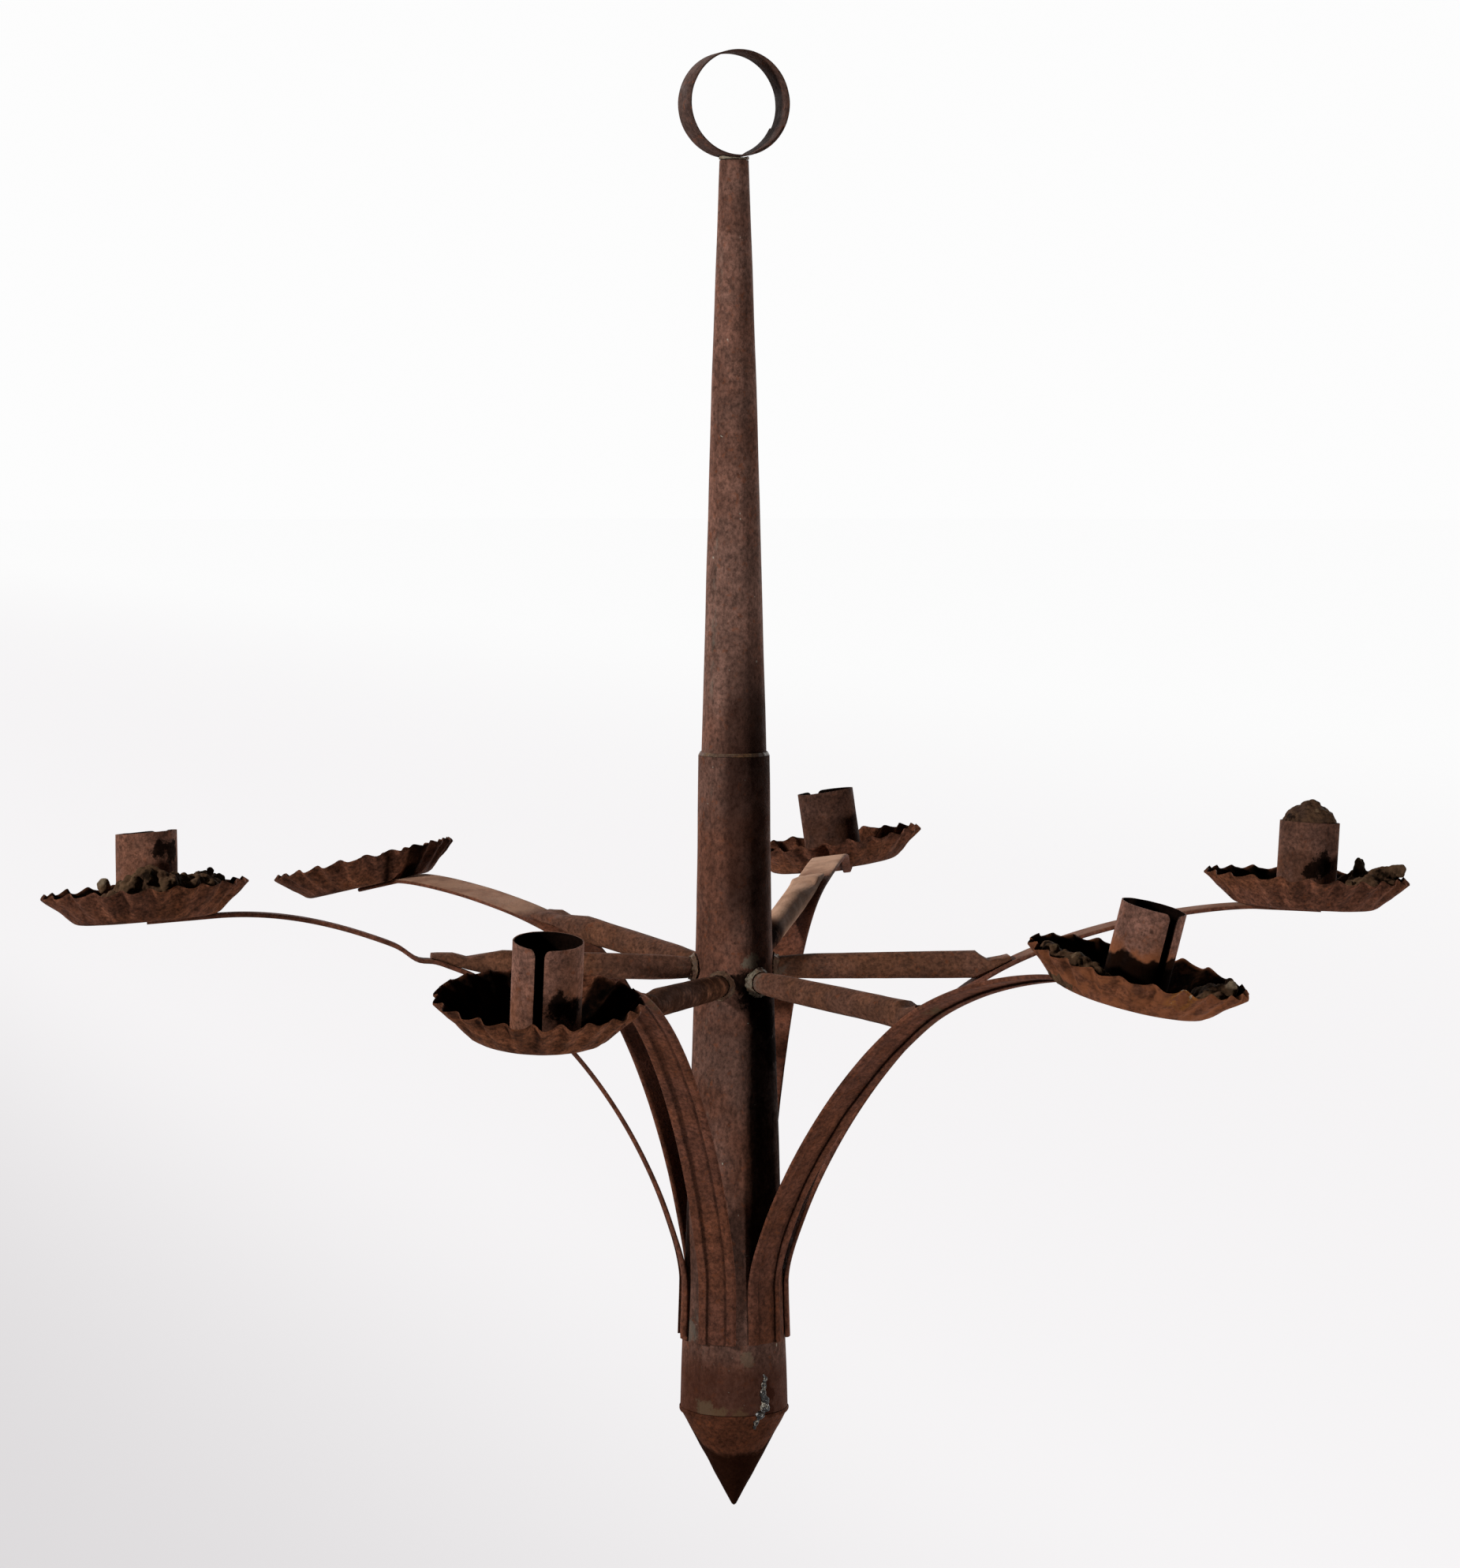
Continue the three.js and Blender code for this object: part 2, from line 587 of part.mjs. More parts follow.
// Heap of dripped wax on the pan floor beside the socket.
function waxHeap(light, { name, from, to, reach, height }) {
  const innerRadius = light.socketDiameter / 2 + SEAT_GAP;
  const section = [[0, 0], [1, 0], [1.2, 0.35], [1, 0.7], [0.5, 1], [0, 0.85]];
  const steps = Math.max(6, Math.round((to - from) / 15));
  const rings = Array.from({ length: steps + 1 }, (_, k) => {
    const turn = k / steps;
    const angle = rad(lerp(from, to, turn));
    const ends = 0.35 + 0.65 * Math.sin(Math.PI * turn);
    const bump = ends * (0.8 + 0.2 * Math.sin(5.1 * angle + reach));
    return section.map(([out, high]) => {
      const r = innerRadius + reach * bump * out;
      return new THREE.Vector3(r * Math.cos(angle), r * Math.sin(angle), height * bump * high);
    });
  });
  const capOutline = section.map(([u, v]) => new THREE.Vector2(u, v));
  return piece(name, skin(rings, { capOutline }), wax());
}

const chandelier = new THREE.Group();
chandelier.add(hangingRing());
chandelier.add(ringSolder());
const slipEnd = [-COLLAR_DROP - COLLAR_OVERLAP, UPPER_BOTTOM_DIAMETER / 2];
chandelier.add(piece('upper_shaft', rolledShaft([...upperStations, slipEnd]), tin(RUST)));
chandelier.add(piece('lower_shaft', rolledShaft(lowerStations), tin(RUST)));
chandelier.add(collarSolder());
chandelier.add(bottomCone());

for (const light of LIGHTS) {
  const arm = new THREE.Group();
  arm.rotation.z = -rad(light.azimuth);
  const path = armPath(light);
  arm.add(armStrip(light, path));
  arm.add(armBrace(light, path));
  arm.add(braceSolder(light));

  const tip = armFrame(light, path.seat, 1);
  const seat = new THREE.Group();
  seat.position.copy(tip.place).addScaledVector(tip.along, light.panShift).addScaledVector(tip.up, SEAT_GAP);
  seat.quaternion.setFromRotationMatrix(new THREE.Matrix4().makeBasis(tip.along, tip.across, tip.up));
  seat.add(dripPan(light));
  const onFloor = new THREE.Group();
  onFloor.position.z = TIN + SEAT_GAP;
  if (light.socketDiameter > 0) {
    onFloor.add(candleSocket(light));
  }
  if (light.name === 'right') {
    onFloor.add(candleStub(light));
  }
  for (const heap of HEAPS.filter((h) => h.light === light.name)) {
    onFloor.add(waxHeap(light, heap));
  }
  seat.add(onFloor);
  arm.add(seat);
  chandelier.add(arm);
}

export default chandelier;
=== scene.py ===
"""Rusted tin chandelier with six candle arms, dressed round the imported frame.

Shapes are worked out in millimetres in the frame of the CAD model, and every mesh is made in metres.
Azimuths run from +X towards -Y, which is the side that the chandelier is seen from.
"""
import math

import bmesh
import bpy
import numpy as np
from mathutils import Matrix, Vector, noise


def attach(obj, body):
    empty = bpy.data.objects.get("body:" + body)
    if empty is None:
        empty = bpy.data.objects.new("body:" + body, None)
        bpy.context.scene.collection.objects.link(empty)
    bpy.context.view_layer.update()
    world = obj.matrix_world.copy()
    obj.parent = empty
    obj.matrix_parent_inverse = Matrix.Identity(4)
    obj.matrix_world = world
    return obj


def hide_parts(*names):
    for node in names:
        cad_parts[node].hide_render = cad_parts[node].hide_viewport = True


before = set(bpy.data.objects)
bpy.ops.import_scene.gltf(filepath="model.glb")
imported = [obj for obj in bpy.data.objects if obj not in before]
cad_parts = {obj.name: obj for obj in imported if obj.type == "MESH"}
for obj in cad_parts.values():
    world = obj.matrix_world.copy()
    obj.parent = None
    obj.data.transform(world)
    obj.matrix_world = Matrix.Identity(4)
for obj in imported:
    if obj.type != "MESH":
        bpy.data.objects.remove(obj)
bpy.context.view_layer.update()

MM = 0.001
TAU = 2 * math.pi

# Sizes, in millimetres, as the CAD model has them
TIN = 0.6
SEAT_GAP = 0.3
SEAT_FIT = 0.05
RING_RADIUS = 20.1
RING_CENTRE_Z = -19.8
RING_WIDTH = 15.0
RING_YAW = 20.0
RING_LAP_START = 242.0
SHAFT_WALL = 0.9
SEAM_AZIMUTH = 130.0
UPPER_STATIONS = [(-41.4, 5.7), (-128.0, 8.85), (-272.0, 12.85), (-284.0, 12.85)]
LOWER_STATIONS = [(-272.0, 14.05), (-334.0, 14.75), (-530.0, 21.4)]
CONE_TOP = -530.3
CONE_TIP = -570.8
LIP_RADIUS = 21.85
STRIP_WIDTH = 15.5
HEM_WIDTH = 3.7
HEM_THICKNESS = 1.1
FOOT_DROP = 502.0
FOOT_LENGTH = 22.0
FOOT_RISE = 25.0
SHOULDER_REACH = 108.0
SHOULDER_LEAD = 60.0
SEAT_LENGTH = 26.0
TWIST_START, TWIST_END = 25.0, 90.0
BEND_LENGTH = 60.0
BRACE_RADIUS = 5.4
BRACE_ROOT_RADIUS = 4.2
FLARE_LENGTH = 14.0
TAB_LENGTH = 14.0
TAB_WIDTH = 12.6
TAB_THICKNESS = 2.2
PAN_WALL_SPREAD = 14.0
KNUCKLE_SPREAD = 3.4
KNUCKLE_HEIGHT = 1.4
PAN_FLUTES = 22
FLUTE_DEPTH = 1.2
SOCKET_SLIT = 3.4
SLIT_CORNER = 2.4

LIGHT_FIELDS = (
    "name azimuth bend reach tip_drop droop roll shoulder_drop slope trail lead brace_drop tab_reach "
    "pan_diameter pan_depth pan_shift socket_diameter socket_height socket_shift slit_azimuth kink lean worn"
).split()
LIGHTS = [
    dict(zip(LIGHT_FIELDS, row))
    for row in [
        ("right", -6, 0.8, 233, 334, 3.3, 1.8, 354.9, 25.7, 46, 8, 355.5, 110,
         80, 11.5, -5, 23.6, 33, 0, 250, 0, 0, 0.25),
        ("front_right", 52.9, -0.1, 228, 343.5, 10.5, 8.8, 366.4, 35, 41, 8, 360, 119,
         78, 11.5, 0, 23, 33, 0, 57, 0, 0, 0),
        ("front_left", 109.3, -2.2, 227, 351, 8, 5.4, 355, 27, 42, 14, 361, 112,
         71, 12.7, 0, 24.4, 33, 2.6, 107, 0, 0, 0),
        ("left", 173, 0.4, 228, 333.6, 4.4, -4, 354, 21, 25, 40, 355.4, 119,
         79, 11.5, 0, 23.7, 33, 0, 290, 2.2, -2.4, 0),
        ("back_left", 227, -0.2, 230, 341.4, 12.5, 5.8, 347.4, 15.3, 38, 8, 356.5, 117,
         78, 11.5, 1, 0, 0, 0, 0, 0, 0, 0.6),
        ("back_right", 287, -5.5, 229, 338.6, 1.3, 8.6, 333.5, 18, 58, 14, 356, 112,
         79, 11.5, 0, 24.8, 33, 0, 260, 0, 0, 1),
    ]
]


# Small maths

def unit(v):
    v = np.asarray(v, float)
    return v / np.linalg.norm(v, axis=-1, keepdims=True)


def smooth(x, low, high):
    t = np.clip((np.asarray(x, float) - low) / (high - low), 0, 1)
    return t * t * (3 - 2 * t)


def rumble(points, scale, seed=0.0):
    """Smooth noise from -1 to 1 at each point, which changes over about `scale` millimetres."""
    flat = np.asarray(points, float).reshape(-1, 3) / scale + seed * 17.3
    values = [noise.noise(Vector(p)) for p in flat]
    return np.array(values).reshape(np.asarray(points).shape[:-1])


def wobble(x, seed, scale=1.0):
    """Smooth noise along one number."""
    return np.array([noise.noise(Vector((float(v) / scale, seed * 7.1, 3.7))) for v in np.ravel(x)])


# Meshes

def make_piece(name, node, points, faces, marks=None, smooth_angle=40.0):
    """A closed mesh from points in millimetres, riding on the frame in place of its CAD node."""
    points = np.asarray(points, float)
    mesh = bpy.data.meshes.new(name)
    mesh.from_pydata((points * MM).tolist(), [], [list(f) for f in faces])
    work = bmesh.new()
    work.from_mesh(mesh)
    if work.calc_volume(signed=True) < 0:
        bmesh.ops.reverse_faces(work, faces=work.faces)
    work.to_mesh(mesh)
    work.free()
    for key, values in (marks or {}).items():
        layer = mesh.attributes.new(key, "FLOAT", "POINT")
        layer.data.foreach_set("value", np.asarray(values, np.float32).ravel())
    mesh.polygons.foreach_set("use_smooth", [True] * len(mesh.polygons))
    mesh.set_sharp_from_angle(angle=math.radians(smooth_angle))
    piece = bpy.data.objects.new(name, mesh)
    bpy.context.scene.collection.objects.link(piece)
    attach(piece, "root")
    if node:
        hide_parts(node)
    return piece


def skin(rings, loop=False):
    """Quads between equal rings of points. An open run of rings gets an n-sided cap at each end."""
    rings = np.asarray(rings, float)
    count, around = rings.shape[:2]
    index = np.arange(count * around).reshape(count, around)
    here = index if loop else index[:-1]
    after = np.roll(index, -1, axis=0) if loop else index[1:]
    quads = np.stack([here, np.roll(here, -1, axis=1), np.roll(after, -1, axis=1), after], axis=-1)
    faces = quads.reshape(-1, 4).tolist()
    if not loop:
        faces.append(index[0][::-1].tolist())
        faces.append(index[-1].tolist())
    return rings.reshape(-1, 3), faces


# Arms, in the arm's own frame: X outwards, Y across, Z up

def shaft_radius(z):
    heights = [-s[0] for s in LOWER_STATIONS]
    return np.interp(-np.asarray(z, float), heights, [s[1] for s in LOWER_STATIONS])


def ray(degrees, length):
    return np.array([math.cos(math.radians(degrees)), math.sin(math.radians(degrees))]) * length


def bezier(points, t):
    t = np.asarray(t, float)[:, None]
    a, b, c, d = [np.asarray(p, float) for p in points]
    place = (1 - t) ** 3 * a + 3 * (1 - t) ** 2 * t * b + 3 * (1 - t) * t * t * c + t ** 3 * d
    speed = (1 - t) ** 2 * (b - a) + 2 * (1 - t) * t * (c - b) + t * t * (d - c)
    return place, unit(speed)


def arm_line(light, steps):
    """Centre line of the strip's upper face in the arm's plane, as places and directions."""
    foot_z = -FOOT_DROP
    foot = np.array([shaft_radius(foot_z) + SEAT_GAP, foot_z])
    foot_top = np.array([shaft_radius(foot_z + FOOT_LENGTH) + SEAT_GAP, foot_z + FOOT_LENGTH])
    shoulder = np.array([SHOULDER_REACH, -light["shoulder_drop"]])
    tip = np.array([light["reach"], -light["tip_drop"]], float)
    seat = tip - ray(-light["droop"], SEAT_LENGTH)
    lower = [foot_top, foot_top + ray(90, FOOT_RISE), shoulder - ray(light["slope"], SHOULDER_LEAD), shoulder]
    upper = [shoulder, shoulder + ray(light["slope"], light["trail"]),
             seat - ray(-light["droop"], light["lead"]), seat]
    straight = lambda a, b, n: (np.linspace(a, b, n, endpoint=False), np.tile(unit(b - a), (n, 1)))
    parts = [
        straight(foot, foot_top, max(2, steps // 12)),
        bezier(lower, np.linspace(0, 1, steps, endpoint=False)),
        bezier(upper, np.linspace(0, 1, steps * 3 // 4, endpoint=False)),
        straight(seat, tip, max(2, steps // 8)),
        (tip[None], unit(tip - seat)[None]),
    ]
    return np.vstack([p for p, _ in parts]), np.vstack([d for _, d in parts])


def arm_frames(light, line):
    """Place, along, across and up of the strip's upper face at each point of its centre line."""
    flat, tangent = line
    flat = flat - np.outer(light["kink"] * np.exp(-((flat[:, 0] - light["tab_reach"] - 5) / 5) ** 2), [0, 1])
    tangent = unit(np.gradient(flat, axis=0)) if light["kink"] else tangent
    straight = light["reach"] - SHOULDER_REACH - BEND_LENGTH / 2
    bend_slope = math.tan(math.radians(-light["bend"])) * light["reach"] / straight
    outboard = np.maximum(0, flat[:, 0] - SHOULDER_REACH)
    bent = np.minimum(outboard, BEND_LENGTH)
    swing = bend_slope * (bent ** 2 / (2 * BEND_LENGTH) + outboard - bent)
    sway = bend_slope * bent / BEND_LENGTH
    along = unit(np.stack([tangent[:, 0], sway * tangent[:, 0], tangent[:, 1]], axis=1))
    across = unit(np.array([0.0, 1.0, 0.0]) - along * along[:, 1:2])
    angle = np.radians(-light["roll"]) * smooth(flat[:, 0], TWIST_START, TWIST_END)
    turned = np.cross(along, across)
    across = across * np.cos(angle)[:, None] + turned * np.sin(angle)[:, None]
    place = np.stack([flat[:, 0], swing, flat[:, 1]], axis=1)
    return place, along, across, np.cross(along, across)


def arm_turn(light):
    """Rotation from the arm's own frame to the model's, for points in rows."""
    a = -math.radians(light["azimuth"])
    return np.array([[math.cos(a), -math.sin(a), 0], [math.sin(a), math.cos(a), 0], [0, 0, 1]]).T


def frame_at_reach(light, reach):
    place, along, across, up = arm_frames(light, arm_line(light, 60))
    at = lambda rows: np.array([np.interp(reach, place[:, 0], rows[:, k]) for k in range(3)])
    return at(place), unit(at(along)), unit(at(across)), unit(at(up))


def make_strip(light, seed):
    """Arm strip with both long edges folded over on the outer face."""
    half, inner, deep = STRIP_WIDTH / 2, STRIP_WIDTH / 2 - HEM_WIDTH, TIN + HEM_THICKNESS
    right = [(inner - 0.6, 0), (half - 1.6, 0), (half - 0.5, -0.06), (half - 0.12, -0.4), (half, -0.85),
             (half - 0.12, -1.3), (half - 0.5, -1.64), (half - 1.4, -deep), (inner + 0.5, -deep),
             (inner + 0.08, -deep + 0.15), (inner, -deep + 0.45), (inner + 0.18, -TIN - 0.16), (inner - 0.12, -TIN)]
    section = ([(u, v) for u, v in right] + [(inner * 0.5, -TIN), (0, -TIN), (-inner * 0.5, -TIN)]
               + [(-u, v) for u, v in reversed(right)] + [(-inner * 0.4, 0), (inner * 0.4, 0)])
    section = np.array(section)
    place, along, across, up = arm_frames(light, arm_line(light, 66))
    length = np.concatenate([[0], np.cumsum(np.linalg.norm(np.diff(place, axis=0), axis=1))])
    radius = shaft_radius(np.maximum(place[:, 2], -530))
    hug = 1 - smooth(place[:, 2], -FOOT_DROP + FOOT_LENGTH * 0.5, -FOOT_DROP + FOOT_LENGTH * 2.2)
    rings = []
    for k in range(len(place)):
        u, v = section[:, 0].copy(), section[:, 1].copy()
        fold = (v < -TIN - 0.1) & (np.abs(u) < half - 1.0)
        u[fold & (u > 0)] += 0.35 * noise.noise(Vector((length[k] / 17, seed, 0)))
        u[fold & (u < 0)] += 0.35 * noise.noise(Vector((length[k] / 17, seed, 9)))
        edge = np.abs(u) > half - 0.7
        u[edge] *= 1 - 0.012 * abs(noise.noise(Vector((length[k] / 6, seed, 5))))
        dish = hug[k] * (radius[k] - np.sqrt(radius[k] ** 2 - u ** 2))
        cup = (1 - hug[k]) * 0.12 * noise.noise(Vector((length[k] / 30, seed, 2))) * (u / half) ** 2
        rings.append(place[k] + across[k] * u[:, None] + up[k] * (v + dish - abs(cup))[:, None])
    points, faces = skin(rings)
    points = points @ arm_turn(light)
    reach = np.repeat(place[:, 0], len(section))
    upper = np.tile((section[:, 1] > -0.3).astype(float), len(place))
    # Painted shade along the fold of each hem
    crease_shade = np.tile((np.abs(np.abs(section[:, 0]) - inner) < 0.2) * (section[:, 1] < -0.3) * 1.0, len(place))
    beyond_tab = reach - light["tab_reach"]
    smear = smooth(beyond_tab, -16, 2) * (1 - smooth(beyond_tab, 2, 12))
    # Tan wear with painted light on the upper face, past the brace's tab
    tan = upper * smooth(beyond_tab, 0, 12) * light["worn"]
    return make_piece(f"strip_{light['name']}", f"arm_strip_{light['name']}", points, faces,
                      {"crease_shade": crease_shade, "smear": smear, "tan": tan}, 50)


def make_brace(light, seed):
    """Brace tube, round at the shaft and hammered down to a flat tab on the strip."""
    sides = 40
    root_z = -light["brace_drop"]
    root_x = float(shaft_radius(root_z)) + SEAT_GAP
    strip, _, _, _ = frame_at_reach(light, light["tab_reach"] - TAB_LENGTH)
    touch_z = strip[2] + SEAT_GAP * 2
    squash = min(max((root_z + BRACE_RADIUS - touch_z) / 2, BRACE_RADIUS * 0.45), BRACE_RADIUS)
    level = np.array([0.0, 1.0, 0.0])
    plumb = np.array([0.0, 0.0, 1.0])
    end_z = touch_z + squash

    def upright(x, z, wide, high):
        return np.array([x, 0, z]), level, plumb, wide, high

    def on_strip(before_tip, wide, high):
        place, _, across, up = frame_at_reach(light, light["tab_reach"] - before_tip)
        return place + up * (SEAT_FIT + high), across, up, wide, high

    mix = lambda share: root_z + (end_z - root_z) * share
    contact_wide = TAB_WIDTH / 2 + (BRACE_RADIUS - TAB_WIDTH / 2) * squash / BRACE_RADIUS
    knots = [
        upright(root_x, root_z, BRACE_ROOT_RADIUS - 1, BRACE_ROOT_RADIUS - 1),
        upright(root_x + 1.2, root_z, BRACE_ROOT_RADIUS - 0.35, BRACE_ROOT_RADIUS - 0.35),
        upright(root_x + 3, root_z, BRACE_ROOT_RADIUS, BRACE_ROOT_RADIUS),
        upright(root_x + 9, mix(0.06), BRACE_RADIUS - 0.7, BRACE_RADIUS - 0.7),
        upright(root_x + 16, mix(0.15), BRACE_RADIUS - 0.4, BRACE_RADIUS - 0.4),
        upright(strip[0] - FLARE_LENGTH, mix(0.8), BRACE_RADIUS, BRACE_RADIUS),
        upright(strip[0], end_z, contact_wide, squash),
        on_strip(TAB_LENGTH * 0.5, TAB_WIDTH / 2, BRACE_RADIUS * 0.42),
        on_strip(TAB_LENGTH * 0.15, TAB_WIDTH / 2 - 0.2, TAB_THICKNESS * 0.62),
        on_strip(0, TAB_WIDTH / 2 - 0.5, TAB_THICKNESS / 2),
    ]
    at = np.concatenate([[0], np.cumsum([np.linalg.norm(b[0] - a[0]) for a, b in zip(knots, knots[1:])])])
    steps = np.unique(np.concatenate([at, np.linspace(0, at[-1], 54)]))
    ease = lambda rows: np.stack([np.interp(steps, at, np.array(rows)[:, k]) for k in range(3)], axis=1)
    place = ease([k[0] for k in knots])
    across, up = unit(ease([k[1] for k in knots])), unit(ease([k[2] for k in knots]))
    wide = np.interp(steps, at, [k[3] for k in knots])
    high = np.interp(steps, at, [k[4] for k in knots])
    flat = smooth(steps, at[5], at[-2])
    turn = (np.arange(sides) + 0.5) / sides * TAU
    seam_at = math.radians(62 + 30 * math.sin(seed * 2.3))

    def ring(k, inset):
        power = 2 / (2 + 1.6 * flat[k])
        u = np.sign(np.cos(turn)) * np.abs(np.cos(turn)) ** power
        v = np.sign(np.sin(turn)) * np.abs(np.sin(turn)) ** power
        away = np.angle(np.exp(1j * (turn - seam_at)))
        step = 0.3 * np.where(away > 0, np.clip(1 - away / 0.7, 0, 1), 0) * smooth(steps[k], at[1], at[3])
        grow = 1 - (step + inset) / max(high[k], 1.2)
        return place[k] + across[k] * (u * (wide[k] * grow))[:, None] + up[k] * (v * (high[k] * grow))[:, None]

    hollow = int(np.searchsorted(steps, at[6]))
    outside = np.array([ring(k, 0) for k in range(len(steps))])[::-1]
    inside = np.array([ring(k, TIN) for k in range(0, hollow, 3)])
    outside = outside + 0.12 * rumble(outside, 9, seed)[..., None] * unit(
        outside - place[::-1][:, None, :]) * smooth(steps[::-1], at[1], at[4])[:, None, None] * (
        1 - flat[::-1])[:, None, None]
    points, faces = skin(np.concatenate([outside, inside]))
    run = np.concatenate([np.repeat(steps[::-1], sides), np.repeat(steps[:hollow:3][:len(inside)], sides)])
    points = points @ arm_turn(light)
    pale = 1 - smooth(run, 2.5, 8)
    out = np.concatenate([np.repeat(place[::-1][:, 0], sides), np.repeat(place[:hollow:3][:len(inside), 0], sides)])
    # Tan wear with painted light, and a band of painted shade, on the back right brace; painted shade over the whole
    # front left brace
    tan = smooth(out, 48, 58) * smooth(light["worn"], 0.8, 0.9)
    painted_shade = smooth(out, 26, 34) * (1 - smooth(out, 46, 56)) * smooth(light["worn"], 0.8, 0.9)
    painted_shade = painted_shade + (0.8 if light["name"] == "front_left" else 0)
    return make_piece(f"brace_{light['name']}", f"arm_brace_{light['name']}", points, faces,
                      {"pale": pale * 0.8, "tan": tan, "painted_shade": painted_shade}, 40)


# Pans and sockets, in the frame of the arm's tip

def tip_matrix(light):
    """Rows of the pan's own frame, and its origin, in the model's frame."""
    place, along, across, up = [rows[-1] for rows in arm_frames(light, arm_line(light, 24))]
    origin = place + along * light["pan_shift"] + up * SEAT_FIT
    turn = arm_turn(light)
    return np.array([along, across, up]) @ turn, origin @ turn


def to_model(light, points):
    basis, origin = tip_matrix(light)
    return np.asarray(points, float) @ basis + origin


# Bare far wall in one pan and an ochre stain outside another, and painted shadow outside the back left pan: mark,
# angle in the pan and half spread
PAN_PATCHES = {"front_left": [("bare", 184, 21)], "front_right": [("stain", 341, 7), ("fresh", 0, 360)],
               "back_left": [("painted_shade", 180, 8), ("painted_shade", 158, 3)], "back_right": [("bare", 0, 360)]}
# Torn rim: angle in the pan, half width in degrees and depth
PAN_NOTCHES = {"front_right": (225, 3.0, 5.0)}


def make_pan(light, seed):
    """Drip pan with pinched flutes, each a little different, on a rounded knuckle."""
    per_flute = 12
    samples = PAN_FLUTES * per_flute
    rim, depth = light["pan_diameter"] / 2, light["pan_depth"]
    floor = rim - PAN_WALL_SPREAD
    angle = np.arange(samples) / samples * TAU
    random = np.random.default_rng(100 + seed)
    strength = 0.75 + 0.4 * random.random(PAN_FLUTES)
    phase = angle * PAN_FLUTES + 0.35 * np.sin(3 * angle + seed)
    which = (phase / TAU).astype(int) % PAN_FLUTES
    between = (phase / TAU) % 1
    power = strength[which] * (1 - smooth(between, 0, 1)) + strength[(which + 1) % PAN_FLUTES] * smooth(between, 0, 1)
    wave = np.sin(phase) + 0.22 * np.sin(2 * phase + 0.8)
    slant = math.atan2(depth - KNUCKLE_HEIGHT, PAN_WALL_SPREAD - KNUCKLE_SPREAD)
    lip = 0.35 * np.array([noise.noise(Vector((math.cos(a) * 2.2, math.sin(a) * 2.2, seed))) for a in angle])
    nick = 0.3 * np.array([noise.noise(Vector((math.cos(a) * 9, math.sin(a) * 9, seed + 4))) for a in angle])

    notch_at, notch_half, notch_deep = PAN_NOTCHES.get(light["name"], (0, 1, 0))
    from_notch = np.degrees(np.abs(np.angle(np.exp(1j * (angle - math.radians(notch_at))))))
    notch = notch_deep * (1 - np.clip(from_notch / notch_half, 0, 1)) ** 0.7

    def level(share):
        if share <= 0:
            r, z, flute = floor * (1 + share), 0.0, 0.0
        else:
            run = share * PAN_WALL_SPREAD
            knee = np.clip(run / KNUCKLE_SPREAD, 0, 1)
            z = KNUCKLE_HEIGHT * knee ** 2.0 + max(0, run - KNUCKLE_SPREAD) * math.tan(slant)
            r = floor + run
            flute = FLUTE_DEPTH * max(0, (run - 1.2) / (PAN_WALL_SPREAD - 1.2)) ** 1.15
        push = flute * wave * power
        torn = notch * max(0, share) ** 2
        radius = r + push * math.sin(slant) - torn * math.cos(slant)
        height = z - push * math.cos(slant) + (lip + nick) * max(0, share) ** 3 - torn * math.sin(slant)
        place = np.stack([radius * np.cos(angle), radius * np.sin(angle), height], axis=1)
        if share <= 0:
            return place + np.outer(0.08 * rumble(place, 9, seed), [0, 0, 1])
        dents = 0.55 * (rumble(place, 5.5, seed + 2) - 0.3) * min(1, share * 2)
        out = np.stack([math.sin(slant) * np.cos(angle), math.sin(slant) * np.sin(angle),
                        np.full(samples, -math.cos(slant))], axis=1)
        return place + np.minimum(dents, 0.1)[:, None] * out

    shares = [-0.8, -0.5, -0.2, 0, 0.05, 0.1, 0.16, 0.22, 0.3, 0.4, 0.52, 0.64, 0.76, 0.88, 0.96, 1.0]
    under = [level(share) for share in shares]
    inside = [rows + [0, 0, TIN] for rows in reversed(under)]
    points, faces = skin(under + inside)
    inner = np.repeat([0.0] * len(under) + [1.0] * len(inside), samples)
    inner[len(under) * samples - samples:(len(under) + 1) * samples] = 0.35
    rise = np.repeat(np.array(shares + shares[::-1]), samples)
    marks = {"inner": inner, "rise": rise}
    for key, centre, spread in PAN_PATCHES.get(light["name"], []):
        away = np.abs(np.angle(np.exp(1j * (angle - math.radians(centre)))))
        patch = np.tile(1 - smooth(np.degrees(away), spread - 3, spread + 3), len(under + inside))
        marks[key] = np.maximum(marks.get(key, 0), patch)
    return make_piece(f"pan_{light['name']}", f"drip_pan_{light['name']}", to_model(light, points), faces,
                      marks, 55)


